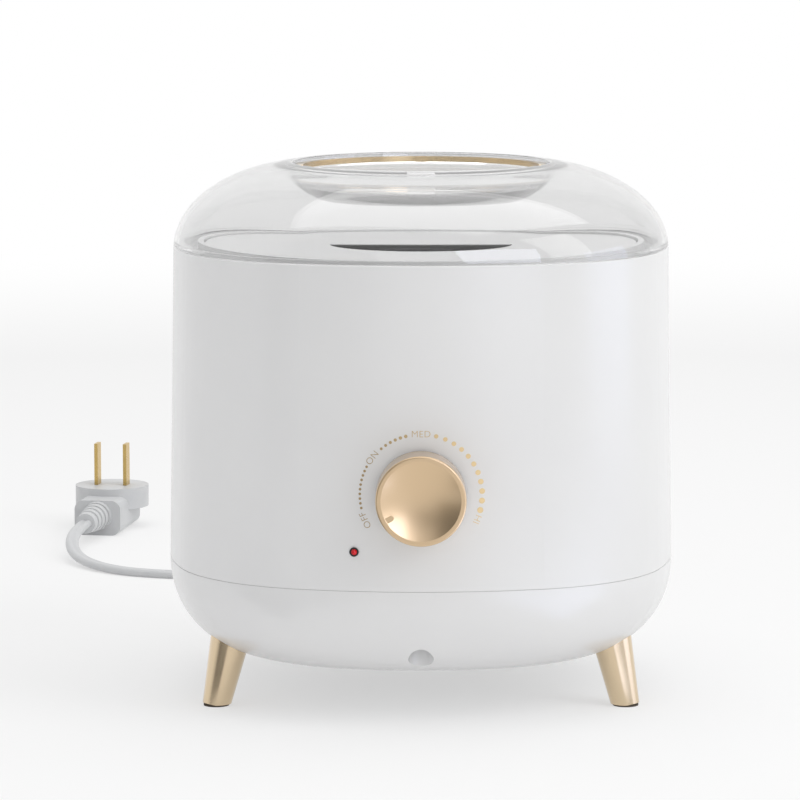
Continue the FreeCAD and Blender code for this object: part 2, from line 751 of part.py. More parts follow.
def make_lid():
    rim = DOME_CENTRE_Z + DOME_RISE * math.sin(math.acos((RIM_RADIUS - DOME_CENTRE_R) / DOME_REACH))
    inner_shoulder = (38.0, 176.3)
    outer_shoulder = (37.0, 173.8)
    under_radius = 26.0
    bowl_top = 182.0
    skirt_inner = 81.6
    skirt_outer = 83.2
    skirt_low = 153.2
    skirt_top = 157.2
    hollow = dome_solid(DOME_WALL, SEAM_TOP - 1)
    dome = dome_solid(0.0, SEAM_TOP).cut(hollow)
    bowl = recess_form(
        RECESS_RADIUS + RECESS_SKIN,
        under_radius,
        RECESS_FLOOR - RECESS_FLOOR_SKIN,
        outer_shoulder,
        bowl_top,
        RIM_ROUND / 2,
    )
    recess = recess_form(RECESS_RADIUS, RECESS_FLOOR_RADIUS, RECESS_FLOOR, inner_shoulder, rim, RIM_ROUND)
    skirt = loft([(skirt_outer, skirt_low), (skirt_outer, SEAM_TOP)], True)
    ledge = loft([(skirt_outer + 1, SEAM_TOP), (skirt_outer + 1, skirt_top)], True)
    skirt_hollow = loft([(skirt_inner, skirt_low), (skirt_inner, skirt_top)], True)
    skirt = fused([skirt, ledge]).cut(skirt_hollow)
    vent_x = (-VENT_WIDTH / 2, VENT_WIDTH / 2)
    vent = box(vent_x, (-47, -38), (VENT_Z - VENT_HEIGHT / 2, VENT_Z + VENT_HEIGHT / 2))
    socket_end = PIN_OUTER_END + 0.1
    sockets = cylinder_x(PIN_RADIUS + RUNNING_GAP, -socket_end, socket_end, 0, HANDLE_AXIS_Z)
    return fused([dome, skirt, bowl]).cut(recess).cut(vent).cut(sockets)


parts["lid_cover"] = make_lid()


# Handle: a half ring that lies in the back of the recess and folds up on two pins.
def make_handle():
    end_radius = (HANDLE_HIGH - HANDLE_LOW) / 2
    end_length = (PIN_INNER_END, HANDLE_OUTER - 0.05)
    tab_half_width = 1.7
    tab_reach = 1.6
    tab_top = HANDLE_HIGH - 0.2
    bow = ring(HANDLE_OUTER, HANDLE_INNER, HANDLE_LOW, HANDLE_HIGH)
    bow = bow.common(box((-50, 50), (0, 50), (HANDLE_LOW, HANDLE_HIGH)))
    end = cylinder_x(end_radius, end_length[0], end_length[1], 0, HANDLE_AXIS_Z)
    tab_y = (HANDLE_INNER - tab_reach, HANDLE_INNER + 0.5)
    tab = box((-tab_half_width, tab_half_width), tab_y, (HANDLE_LOW, tab_top))
    handle = fused([bow, tab] + both_sides(end))
    return handle.cut(cylinder_x(PIN_RADIUS, -50, 50, 0, HANDLE_AXIS_Z))


handle_pin = cylinder_x(PIN_RADIUS, PIN_INNER_END, PIN_OUTER_END, 0, HANDLE_AXIS_Z)
parts["lid_handle"] = make_handle()
parts["handle_pins"] = group(both_sides(handle_pin))


# Thermostat: its threaded bush goes through the casing's front and takes a nut outside.
def make_thermostat():
    case_x = (-THERMOSTAT_HALF_WIDTH, THERMOSTAT_HALF_WIDTH)
    case_z = (KNOB_Z - THERMOSTAT_HALF_HEIGHT, KNOB_Z + THERMOSTAT_HALF_HEIGHT)
    case = box(case_x, (-THERMOSTAT_FRONT, -THERMOSTAT_BACK), case_z)
    bush = cylinder_y(BUSH_RADIUS, -BUSH_TIP, -THERMOSTAT_FRONT, 0, KNOB_Z)
    shaft_hole = cylinder_y(SHAFT_RADIUS + RUNNING_GAP, -95, -THERMOSTAT_BACK - 2, 0, KNOB_Z)
    return fused([case, bush]).cut(shaft_hole)


def make_nut():
    corner_radius = 6.9
    height = 2.2
    seat = casing_half(KNOB_Z - corner_radius) + RUNNING_GAP
    corners = []
    for corner in range(7):
        angle = math.radians(60 * corner)
        corners.append(V(corner_radius * math.cos(angle), -seat, KNOB_Z + corner_radius * math.sin(angle)))
    nut = Part.Face(Part.makePolygon(corners)).extrude(V(0, -height, 0))
    return nut.cut(cylinder_y(BUSH_RADIUS, -100, -75, 0, KNOB_Z))


def make_tab():
    half_width = 3.1
    half_sheet = 0.4
    tab_z = (TAB_LOW, KNOB_Z - THERMOSTAT_HALF_HEIGHT)
    return box((TAB_X - half_width, TAB_X + half_width), (TAB_Y - half_sheet, TAB_Y + half_sheet), tab_z)


parts["thermostat_body"] = make_thermostat()
parts["thermostat_nut"] = make_nut()
parts["thermostat_tabs"] = group(both_sides(make_tab()))


# Shaft and knob. The shaft's tip has a flat, and the knob's hub is cut to match.
def shaft_form(back):
    """The shaft from its tip to a distance in front of the casing's axis."""
    shaft = cylinder_y(SHAFT_RADIUS, -SHAFT_TIP, -back, 0, KNOB_Z)
    flat_z = KNOB_Z + SHAFT_RADIUS - SHAFT_FLAT
    return shaft.cut(box((-5, 5), (-SHAFT_TIP - 1, -HUB_BACK), (flat_z, flat_z + 5)))


def make_pointer():
    """The pill-shaped mark, lying along a radius at the knob's rim."""
    inner = 11.3
    outer = 13.0
    half_width = 0.95
    depth = (-KNOB_FACE + 0.05, -KNOB_FACE + 2.6)
    pill = fused(
        [
            cylinder_y(half_width, depth[0], depth[1], inner, 0),
            cylinder_y(half_width, depth[0], depth[1], outer, 0),
            box((inner, outer), depth, (-half_width, half_width)),
        ]
    )
    return moved(turned(pill, -POINTER_ANGLE, ORIGIN, BACK), V(0, 0, KNOB_Z))


def make_knob():
    dish_edge = KNOB_RADIUS - KNOB_RIM
    dish_radius = (dish_edge ** 2 + KNOB_DISH ** 2) / (2 * KNOB_DISH)
    dish_centre = V(0, -KNOB_FACE - dish_radius + KNOB_DISH, KNOB_Z)
    cap_inside = KNOB_FACE - KNOB_DISH - KNOB_SKIN
    body = cylinder_y(KNOB_RADIUS, -KNOB_FACE, -KNOB_BACK, 0, KNOB_Z)
    front_edges = [edge for edge in body.Edges if abs(edge.CenterOfMass.y + KNOB_FACE) < 0.01]
    body = body.makeFillet(KNOB_ROUND, front_edges)
    hollow = cylinder_y(KNOB_RADIUS - KNOB_SKIRT, -cap_inside, -KNOB_BACK + 1, 0, KNOB_Z)
    hub = cylinder_y(HUB_RADIUS, -cap_inside - 0.5, -HUB_BACK, 0, KNOB_Z)
    knob = fused([body.cut(hollow), hub]).cut(shaft_form(HUB_BACK - 3))
    return knob.cut(Part.makeSphere(dish_radius, dish_centre)).cut(make_pointer())


def make_clip():
    """A split spring ring that grips the hub onto the shaft."""
    wire = 0.8
    front = 95.5
    back = 91.5
    half_split = 1.2
    clip = cylinder_y(HUB_RADIUS + wire, -front, -back, 0, KNOB_Z)
    clip = clip.cut(cylinder_y(HUB_RADIUS, -front - 1, -back + 1, 0, KNOB_Z))
    return clip.cut(box((-half_split, half_split), (-front - 1, -back + 1), (KNOB_Z, KNOB_Z + 10)))


parts["thermostat_shaft"] = shaft_form(THERMOSTAT_BACK + 2.5)
parts["knob"] = make_knob()
parts["knob_pointer"] = make_pointer()
parts["knob_clip"] = make_clip()


# Indicator light: a red lens in a dark snap-in holder, with its small board behind.
def make_holder():
    bezel_radius = LAMP_HOLDER_RADIUS + 0.2
    bezel_height = 0.45
    bezel_seat = 0.05
    catch_radius = 4.0
    catch_depth = WALL + 0.6
    barrel = cylinder_y(LAMP_HOLDER_RADIUS, -bezel_seat, LAMP_DEPTH - 3)
    bezel = cylinder_y(bezel_radius, -bezel_height, -bezel_seat)
    catch = cylinder_y(catch_radius, catch_depth, LAMP_DEPTH)
    return fused([barrel, bezel, catch]).cut(cylinder_y(LAMP_RADIUS, -5, LAMP_DEPTH + 5))


def make_lens():
    tip = 0.2
    return fused([cylinder_y(LAMP_RADIUS, -tip, LAMP_DEPTH), Part.makeSphere(LAMP_RADIUS, V(0, -tip, 0))])


BOARD_BACK = LAMP_DEPTH + BOARD_THICKNESS
RESISTOR_RADIUS = 1.3
parts["lamp_holder"] = at_lamp(make_holder())
parts["indicator_lens"] = at_lamp(make_lens())
parts["lamp_board"] = at_lamp(box((-6, 6), (LAMP_DEPTH, BOARD_BACK), (-8, 8)))
parts["lamp_resistor"] = at_lamp(cylinder(RESISTOR_RADIUS, -4, 4, 0, BOARD_BACK + RESISTOR_RADIUS))


# Mains entry: boot in the base's back wall, clamp and terminal block on its floor.
def make_boot():
    flange_radius = GLAND_RADIUS + 1.8
    flange = (78.0, GLAND_SEAT - 0.1)
    taper_start = 89.0
    tip_radius = 3.9
    groove_count = 4
    groove_start = 90.4
    groove_pitch = 2.6
    groove_width = 1.1
    core_radius = 4.6
    core_taper = 0.25
    taper_length = GLAND_END - taper_start
    boot = fused(
        [
            cylinder_y(flange_radius, flange[0], flange[1], 0, GLAND_Z),
            cylinder_y(GLAND_RADIUS, flange[1], taper_start, 0, GLAND_Z),
            Part.makeCone(GLAND_RADIUS, tip_radius, taper_length, V(0, taper_start, GLAND_Z), BACK),
        ]
    )
    for groove in range(groove_count):
        start = groove_start + groove * groove_pitch
        end = start + groove_width
        core = cylinder_y(core_radius - core_taper * groove, start, end, 0, GLAND_Z)
        boot = boot.cut(cylinder_y(GLAND_RADIUS + 1, start, end, 0, GLAND_Z).cut(core))
    return boot.cut(cylinder_y(CORD_RADIUS, flange[0] - 1, GLAND_END + 1, 0, GLAND_Z))


BLOCK_X = (12.0, 32.0)
BLOCK_Y = (0.0, 14.0)
BLOCK_TOP = 30.0
TAIL_X = 22.0
TAIL_Z = 23.5
TAIL_ROUTE = [
    V(0, GLAND_END, GLAND_Z),
    V(0, 68, GLAND_Z),
    V(8, 50, 29),
    V(TAIL_X, 34, TAIL_Z),
    V(TAIL_X, BLOCK_Y[1], TAIL_Z),
]


def terminals(top):
    """Four upright cylinders where the block's screws stand."""
    radius = 1.8
    foot = 22.0
    return group([cylinder(radius, foot, top, x, y) for x in (17, 27) for y in (4, 10)])


def make_clamp(tail):
    half_length = 11.0
    half_width = 4.0
    height = 9.0
    place = V(TAIL_X, BLOCK_Y[1] + 8, BASE_FLOOR)
    screw_x = 7.5
    screw_radius = 1.5
    head_radius = 2.6
    head_height = 2.0
    hole = cylinder(screw_radius, -1, height + 1, screw_x)
    bar = box((-half_length, half_length), (-half_width, half_width), (0, height))
    bar = bar.cut(group(both_sides(hole)))
    head = cylinder(head_radius, height, height + head_height, screw_x)
    screw = fused([cylinder(screw_radius, 0, height, screw_x), head])
    return moved(bar, place).cut(tail), moved(group(both_sides(screw)), place)


parts["strain_relief"] = make_boot()
parts["cord_tail"] = tube(TAIL_ROUTE, CORD_RADIUS)
parts["terminal_block"] = box(BLOCK_X, BLOCK_Y, (BASE_FLOOR, BLOCK_TOP)).cut(terminals(BLOCK_TOP + 1))
parts["terminal_screws"] = terminals(BLOCK_TOP - 1)
parts["cord_clamp"], parts["clamp_screws"] = make_clamp(parts["cord_tail"])

# Inside wiring: block to thermostat, thermostat to heater, heater back to block.
LEAD_ROUTES = {
    "live_lead": [
        V(27, BLOCK_Y[0], 25),
        V(27, -18, 25),
        V(22, -42, 32),
        V(12, -64, 40),
        V(TAB_X, TAB_Y, 48),
        V(TAB_X, TAB_Y, TAB_LOW),
    ],
    "switched_lead": [
        V(-TAB_X, TAB_Y, TAB_LOW),
        V(-TAB_X, TAB_Y, 49),
        V(-26, -64, 44),
        V(-50, -50, 52),
        V(-70, -22, 66),
        V(-72, 20, 84),
        V(-48, 58, 98),
        V(-25, EAR_TIP - 2, BAND_SCREW_Z),
        V(-EAR_OUTER, EAR_TIP - 2, BAND_SCREW_Z),
    ],
    "neutral_lead": [
        V(BLOCK_X[1], 10, 25),
        V(41, 10, 25),
        V(48, 28, 38),
        V(52, 50, 60),
        V(44, 63, 88),
        V(25, EAR_TIP - 2, BAND_SCREW_Z),
        V(EAR_OUTER, EAR_TIP - 2, BAND_SCREW_Z),
    ],
}
for name, route in LEAD_ROUTES.items():
    parts[name] = tube(route, LEAD_RADIUS)

# Cord outside: it drops to the table, runs to the left behind the casing and ends in the plug.
parts["power_cord"] = tube(CORD_ROUTE, CORD_RADIUS)


# Plug: a right-angled moulding lying on its back, its two flat blades upwards.
def make_blades():
    half_sheet = 0.75
    half_width = 3.2
    low = PLUG_DISC_HIGH - BLADE_SEAT
    middle = BLADE_GAP / 2
    blade_x = (middle - half_sheet, middle + half_sheet)
    blade_y = (PLUG_DISC_Y - half_width, PLUG_DISC_Y + half_width)
    return group(both_sides(box(blade_x, blade_y, (low, low + BLADE_HEIGHT))))


def make_plug():
    neck_z = CORD_ROUTE[-1].z
    neck_tip = 4.2
    neck_root = 6.6
    neck_length = 26.0
    grip_half_width = 10.0
    grip_start = 22.0
    grip_height = 15.0
    grip_round = 4.0
    groove_count = 4
    groove_start = 4.0
    groove_pitch = 4.6
    groove_width = 1.5
    core_radius = 4.0
    neck = Part.makeCone(neck_tip, neck_root, neck_length, V(0, 0, neck_z), BACK)
    grip = box((-grip_half_width, grip_half_width), (grip_start, PLUG_DISC_Y + 10), (0, grip_height))
    long_edges = [edge for edge in grip.Edges if abs(edge.tangentAt(0).y) > 0.9]
    grip = grip.makeFillet(grip_round, long_edges)
    disc = cylinder(PLUG_DISC_RADIUS, PLUG_DISC_LOW, PLUG_DISC_HIGH, 0, PLUG_DISC_Y)
    plug = fused([grip, disc, neck])
    for groove in range(groove_count):
        start = groove_start + groove_pitch * groove
        end = start + groove_width
        core = cylinder_y(core_radius, start, end, 0, neck_z)
        plug = plug.cut(cylinder_y(neck_root + 1, start, end, 0, neck_z).cut(core))
    return plug.cut(make_blades())


plug_heading = CORD_ROUTE[-1] - CORD_ROUTE[-2]
plug_turn = math.degrees(math.atan2(-plug_heading.x, plug_heading.y))
plug_place = V(CORD_ROUTE[-1].x, CORD_ROUTE[-1].y, 0)
parts["plug_body"] = moved(turned(make_plug(), plug_turn), plug_place)
parts["plug_pins"] = moved(turned(make_blades(), plug_turn), plug_place)

os.makedirs("parts", exist_ok=True)
for name, shape in parts.items():
    if not shape.isValid():
        print("not valid:", name)
    shape.exportStep("parts/%s.step" % name)
print(len(parts), "sub-parts")
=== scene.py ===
import math

import bmesh
import bpy
from mathutils import Matrix, Vector
from mathutils.bvhtree import BVHTree


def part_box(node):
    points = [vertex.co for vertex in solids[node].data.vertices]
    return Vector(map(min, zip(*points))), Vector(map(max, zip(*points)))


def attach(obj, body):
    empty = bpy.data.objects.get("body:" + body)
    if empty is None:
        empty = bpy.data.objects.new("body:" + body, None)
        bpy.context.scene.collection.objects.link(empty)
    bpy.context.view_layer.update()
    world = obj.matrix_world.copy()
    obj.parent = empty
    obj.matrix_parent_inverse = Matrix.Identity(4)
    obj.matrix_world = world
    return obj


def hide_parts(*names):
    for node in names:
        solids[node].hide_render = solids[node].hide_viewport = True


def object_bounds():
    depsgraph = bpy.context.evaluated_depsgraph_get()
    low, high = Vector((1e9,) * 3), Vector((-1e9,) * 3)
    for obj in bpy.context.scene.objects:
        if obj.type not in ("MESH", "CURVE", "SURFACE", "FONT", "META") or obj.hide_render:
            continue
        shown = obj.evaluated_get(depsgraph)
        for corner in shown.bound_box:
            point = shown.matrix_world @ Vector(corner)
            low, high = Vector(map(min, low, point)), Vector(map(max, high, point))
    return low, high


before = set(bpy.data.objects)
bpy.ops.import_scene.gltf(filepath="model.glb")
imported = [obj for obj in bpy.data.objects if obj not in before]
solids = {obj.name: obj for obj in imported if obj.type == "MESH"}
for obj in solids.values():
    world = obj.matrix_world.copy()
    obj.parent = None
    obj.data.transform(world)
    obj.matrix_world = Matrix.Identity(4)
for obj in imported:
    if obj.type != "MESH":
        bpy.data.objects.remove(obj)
cad_low, cad_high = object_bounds()
MM = 0.001


# Base bowl.
# One injection-moulded ABS shell that carries the legs, the mains entry and the screws.
# White ABS from a polished mould: a soft gloss, a faint orange peel and a hair of warm mottling.
def linear(hex_code):
    """An sRGB hex colour as linear RGBA."""
    channels = [int(hex_code[i:i + 2], 16) / 255 for i in (1, 3, 5)]
    return [c / 12.92 if c <= 0.04045 else ((c + 0.055) / 1.055) ** 2.4 for c in channels] + [1.0]


def new_material(name):
    """A material, its node tree and its shader."""
    made = bpy.data.materials.new(name)
    made.use_nodes = True
    return made, made.node_tree, made.node_tree.nodes["Principled BSDF"]


def add(tree, kind, inputs, **settings):
    """Adds one node. Inputs are values or the outputs that they are linked to."""
    made = tree.nodes.new(kind)
    for name, value in settings.items():
        setattr(made, name, value)
    for socket, value in inputs.items():
        if isinstance(value, bpy.types.NodeSocket):
            tree.links.new(value, made.inputs[socket])
        else:
            made.inputs[socket].default_value = value
    return made


def dress(material, *names):
    """Gives CAD pieces a finish."""
    for name in names:
        slots = solids[name].data.materials
        slots.clear()
        slots.append(material)


def moulded_abs(name, pale, deep, roughness):
    """Moulded ABS. The eye gets a soft gloss that breaks up slightly along reflections."""
    mottle_mm = 38.0
    peel_mm = 1.6
    peel_depth_mm = 0.004
    made, tree, shader = new_material(name)
    place = add(tree, "ShaderNodeTexCoord", {}).outputs["Object"]
    mottle = add(tree, "ShaderNodeTexNoise", {"Vector": place, "Scale": 1 / (mottle_mm * MM), "Detail": 3.0})
    colour = add(tree, "ShaderNodeMix", {"Factor": mottle.outputs["Fac"]}, data_type="RGBA")
    colour.inputs["A"].default_value = linear(pale)
    colour.inputs["B"].default_value = linear(deep)
    peel = add(tree, "ShaderNodeTexNoise", {"Vector": place, "Scale": 1 / (peel_mm * MM), "Detail": 1.0})
    bump = add(tree, "ShaderNodeBump", {"Height": peel.outputs["Fac"], "Distance": peel_depth_mm * MM})
    tree.links.new(colour.outputs["Result"], shader.inputs["Base Color"])
    tree.links.new(bump.outputs["Normal"], shader.inputs["Normal"])
    shader.inputs["Roughness"].default_value = roughness
    shader.inputs["IOR"].default_value = 1.53
    return made


white_abs = moulded_abs("moulded_white_abs", "#e2e2e2", "#dededf", 0.24)
dress(white_abs, "base_shell")


# Legs, their screws and foot pads.
# Turned metal tapers with a satin champagne plating, each held by a screw from inside the bowl.
# The plating is smooth with a fine lengthwise lap, so light runs in soft upright stripes.
def champagne_plating(name, colour, roughness):
    """Lacquered satin plating: a warm mirror blurred by a fine grain, under a paler clear gloss."""
    grain_mm = 0.35
    grain_depth_mm = 0.0006
    lacquer_weight = 0.7
    lacquer_roughness = 0.16
    made, tree, shader = new_material(name)
    place = add(tree, "ShaderNodeTexCoord", {}).outputs["Object"]
    grain = add(tree, "ShaderNodeTexNoise", {"Vector": place, "Scale": 1 / (grain_mm * MM), "Detail": 2.0})
    bump = add(tree, "ShaderNodeBump", {"Height": grain.outputs["Fac"], "Distance": grain_depth_mm * MM})
    tree.links.new(bump.outputs["Normal"], shader.inputs["Normal"])
    shader.inputs["Base Color"].default_value = linear(colour)
    shader.inputs["Metallic"].default_value = 1.0
    shader.inputs["Roughness"].default_value = roughness
    shader.inputs["Coat Weight"].default_value = lacquer_weight
    shader.inputs["Coat Roughness"].default_value = lacquer_roughness
    return made


leg_gold = champagne_plating("champagne_plated_legs", "#d5c0a0", 0.22)
dress(leg_gold, "leg_front_left", "leg_front_right", "leg_rear")


def rubber(name, colour):
    """Moulded rubber: dull, with a faint bloom."""
    bloom_mm = 2.0
    made, tree, shader = new_material(name)
    place = add(tree, "ShaderNodeTexCoord", {}).outputs["Object"]
    bloom = add(tree, "ShaderNodeTexNoise", {"Vector": place, "Scale": 1 / (bloom_mm * MM)})
    dull = add(tree, "ShaderNodeMapRange", {"Value": bloom.outputs["Fac"], "To Min": 0.65, "To Max": 0.85})
    tree.links.new(dull.outputs["Result"], shader.inputs["Roughness"])
    shader.inputs["Base Color"].default_value = linear(colour)
    return made


dress(rubber("dark_foot_rubber", "#4a3f33"), "foot_pads")


def plated_steel(name, colour, roughness):
    """Zinc-plated steel: grey, slightly blotched where the zinc grew."""
    spangle_mm = 1.4
    made, tree, shader = new_material(name)
    place = add(tree, "ShaderNodeTexCoord", {}).outputs["Object"]
    spangle = add(tree, "ShaderNodeTexVoronoi", {"Vector": place, "Scale": 1 / (spangle_mm * MM)})
    shine = add(
        tree,
        "ShaderNodeMapRange",
        {"Value": spangle.outputs["Distance"], "To Min": roughness - 0.06, "To Max": roughness + 0.08},
    )
    tree.links.new(shine.outputs["Result"], shader.inputs["Roughness"])
    shader.inputs["Base Color"].default_value = linear(colour)
    shader.inputs["Metallic"].default_value = 1.0
    return made


zinc_steel = plated_steel("zinc_plated_steel", "#c3c4c6", 0.34)
dress(zinc_steel, "leg_screws")


# Upper shell and the screws that join it to the base.
# One ABS wall that drops over the base's tongue; its screws come up the wells between the legs.
dress(white_abs, "upper_shell")
dress(zinc_steel, "base_screws")


# Dial print.
# Pad-printed gold ink round the knob: words at the set points and dots that grow with the heat.
# Metallic ink is a thin matt film, so it glints only where the light comes back along it.
KNOB_LOW, KNOB_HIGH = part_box("knob")
KNOB_AXIS = Vector((0.0, 0.0, (KNOB_LOW.z + KNOB_HIGH.z) / 2))
RING_RADIUS = 20.3 * MM
INK_FILM = 0.03 * MM
LETTER_SIZE = 3.15 * MM
LETTER_THINNING = 0.035 * MM
LETTER_SPACING = 1.06
WORD_ANGLES = {"OFF": 204.7, "ON": 142.5, "MED": 90.0, "HI": -23.8}
casing_surface = BVHTree.FromObject(solids["upper_shell"], bpy.context.evaluated_depsgraph_get())


def on_casing(x, z):
    """The point of the casing's front at this place, one ink film out."""
    well_in_front = cad_low.y - 0.1
    start = Vector((x, well_in_front, z))
    hit = casing_surface.ray_cast(start, Vector((0, 1, 0)))[0]
    return hit - Vector((0, INK_FILM, 0))


def print_at(flat_points, degrees):
    """Flat points (along the ring, outwards) laid on the casing at an angle round the knob."""
    angle = math.radians(degrees)
    along = Vector((math.sin(angle), -math.cos(angle)))
    out = Vector((math.cos(angle), math.sin(angle)))
    laid = []
    for s, t in flat_points:
        spot = out * (RING_RADIUS + t) + along * s
        laid.append(on_casing(KNOB_AXIS.x + spot.x, KNOB_AXIS.z + spot.y))
    return laid


def letters(word):
    """The faces of a word, centred on its own middle."""
    curve = bpy.data.curves.new("letters", "FONT")
    curve.body = word
    curve.size = LETTER_SIZE
    curve.align_x = "CENTER"
    curve.align_y = "CENTER"
    curve.offset = -LETTER_THINNING
    curve.space_character = LETTER_SPACING
    holder = bpy.data.objects.new("letters", curve)
    bpy.context.collection.objects.link(holder)
    bpy.context.view_layer.update()
    mesh = bpy.data.meshes.new_from_object(holder.evaluated_get(bpy.context.evaluated_depsgraph_get()))
    points = [(v.co.x, v.co.y) for v in mesh.vertices]
    faces = [list(p.vertices) for p in mesh.polygons]
    bpy.data.objects.remove(holder)
    return points, faces


def dot(diameter):
    """A round dot as one face."""
    corners = 20
    turns = [2 * math.pi * i / corners for i in range(corners)]
    points = [(diameter / 2 * math.cos(a), diameter / 2 * math.sin(a)) for a in turns]
    return points, [list(range(corners))]


def dot_run(count, first_angle, step, diameter_mm, growth_mm):
    """A run of dots going clockwise, each a little wider than the last."""
    run = []
    for i in range(count):
        run.append((dot((diameter_mm + growth_mm * i) * MM), first_angle - step * i))
    return run


def dial_marks():
    """Every mark with its angle, anticlockwise from the right as seen from the front."""
    marks = [(letters(word), angle) for word, angle in WORD_ANGLES.items()]
    marks += dot_run(10, 192.6, 4.45, 0.9, 0.0)
    marks += dot_run(6, 130.4, 5.2, 0.95, 0.05)
    marks += dot_run(11, 75.7, 9.03, 1.45, 0.06)
    return marks


def metallic_ink(name, deep, pale):
    """Gold screen ink: flakes in a clear binder, half metal and half paint, with painted light: deeper gold
    on the left, paler on the right.
    """
    flake_mm = 0.12
    shaded_to_mm = -20.0
    lit_from_mm = 8.0
    flake_share = 0.7
    made, tree, shader = new_material(name)
    place = add(tree, "ShaderNodeTexCoord", {}).outputs["Object"]
    flakes = add(tree, "ShaderNodeTexNoise", {"Vector": place, "Scale": 1 / (flake_mm * MM)})
    shine = add(tree, "ShaderNodeMapRange", {"Value": flakes.outputs["Fac"], "To Min": 0.35, "To Max": 0.55})
    tree.links.new(shine.outputs["Result"], shader.inputs["Roughness"])
    # Painted shade and light: the ink runs from a shaded deep gold on the left to a lit pale gold on the
    # right.
    across = add(tree, "ShaderNodeSeparateXYZ", {"Vector": place})
    painted_light_share = add(
        tree,
        "ShaderNodeMapRange",
        {"Value": across.outputs["X"], "From Min": shaded_to_mm * MM, "From Max": lit_from_mm * MM},
    )
    painted_light_tone = add(tree, "ShaderNodeMix", {"Factor": painted_light_share.outputs["Result"]}, data_type="RGBA")
    painted_light_tone.inputs["A"].default_value = linear(deep)
    painted_light_tone.inputs["B"].default_value = linear(pale)
    tree.links.new(painted_light_tone.outputs["Result"], shader.inputs["Base Color"])
    shader.inputs["Metallic"].default_value = flake_share
    return made


print_points = []
print_faces = []
for (flat_points, flat_faces), degrees in dial_marks():
    first = len(print_points)
    print_points += print_at(flat_points, degrees)
    print_faces += [[first + i for i in face] for face in flat_faces]
print_mesh = bpy.data.meshes.new("dial_print")
print_mesh.from_pydata(print_points, [], print_faces)
dial_print = bpy.data.objects.new("dial_print", print_mesh)
bpy.context.collection.objects.link(dial_print)
# The two golds are the shaded and the lit ends of the painted light across the dial.
print_mesh.materials.append(metallic_ink("gold_dial_ink", "#b09a74", "#d5bd8f"))
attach(dial_print, "housing")


# Top ring and its screws.
# A white ABS frame screwed under the casing's mouth; its raised lip keeps drips inside.
dress(white_abs, "deck_ring")
dress(zinc_steel, "deck_screws")


# Heating well, gasket and screws.
# A spun aluminium bowl on a silicone ring, so the heat stays off the plastic.
def spun_aluminium(name, colour):
    """Spun aluminium: fine rings round the axis of spinning."""
    ring_mm = 0.5
    wave_unit = 20
    made, tree, shader = new_material(name)
    place = add(tree, "ShaderNodeTexCoord", {}).outputs["Object"]
    rings = add(
        tree,
        "ShaderNodeTexWave",
        {"Vector": place, "Scale": 1 / (ring_mm * MM) / wave_unit, "Distortion": 0.4},
        wave_type="RINGS",
        rings_direction="Z",
    )
    shine = add(tree, "ShaderNodeMapRange", {"Value": rings.outputs["Fac"], "To Min": 0.26, "To Max": 0.38})
    tree.links.new(shine.outputs["Result"], shader.inputs["Roughness"])
    shader.inputs["Base Color"].default_value = linear(colour)
    shader.inputs["Metallic"].default_value = 1.0
    return made


bare_aluminium = spun_aluminium("spun_aluminium", "#d6d7d8")
dress(bare_aluminium, "heating_chamber", "heat_shield", "thermal_fuse")
dress(rubber("red_silicone", "#9c3a30"), "chamber_gasket")
dress(zinc_steel, "chamber_screws")


# Heater band, sleeve, shield and fuse.
# A mica heater in a steel band, wrapped in needled glass felt, over an aluminium shield.
def needled_felt(name, pale, deep):
    """Needled glass felt: a dull tangle of short fibres."""
    fibre_mm = 0.8
    tangle_depth_mm = 0.2
    made, tree, shader = new_material(name)
    place = add(tree, "ShaderNodeTexCoord", {}).outputs["Object"]
    tangle = add(tree, "ShaderNodeTexNoise", {"Vector": place, "Scale": 1 / (fibre_mm * MM), "Detail": 6.0})
    colour = add(tree, "ShaderNodeMix", {"Factor": tangle.outputs["Fac"]}, data_type="RGBA")
    colour.inputs["A"].default_value = linear(pale)
    colour.inputs["B"].default_value = linear(deep)
    bump = add(tree, "ShaderNodeBump", {"Height": tangle.outputs["Fac"], "Distance": tangle_depth_mm * MM})
    tree.links.new(colour.outputs["Result"], shader.inputs["Base Color"])
    tree.links.new(bump.outputs["Normal"], shader.inputs["Normal"])
    shader.inputs["Roughness"].default_value = 0.95
    return made


dress(zinc_steel, "heater_band", "band_screw", "shield_standoffs", "fuse_clip")
dress(needled_felt("glass_felt", "#efece2", "#d5d0c0"), "insulation_sleeve")


# Inner pot.
# Drawn aluminium with a dark release coat, standing loose in the well by its rim.
def release_coat(name, colour):
    """Baked release coat: dark, half gloss, with a fine speckle."""
    speckle_mm = 0.6
    speckle_depth_mm = 0.02
    made, tree, shader = new_material(name)
    place = add(tree, "ShaderNodeTexCoord", {}).outputs["Object"]
    speckle = add(
        tree,
        "ShaderNodeTexNoise",
        {"Vector": place, "Scale": 1 / (speckle_mm * MM), "Detail": 4.0},
    )
    shine = add(tree, "ShaderNodeMapRange", {"Value": speckle.outputs["Fac"], "To Min": 0.3, "To Max": 0.5})
    bump = add(tree, "ShaderNodeBump", {"Height": speckle.outputs["Fac"], "Distance": speckle_depth_mm * MM})
    tree.links.new(shine.outputs["Result"], shader.inputs["Roughness"])
    tree.links.new(bump.outputs["Normal"], shader.inputs["Normal"])
    shader.inputs["Base Color"].default_value = linear(colour)
    return made


dress(release_coat("dark_release_coat", "#4a4a4b"), "inner_pot")


# Drip collar.
# A loose white plate over the pot; its half-moon mouth has a straight edge to wipe a spatula on.
dress(white_abs, "drip_collar")


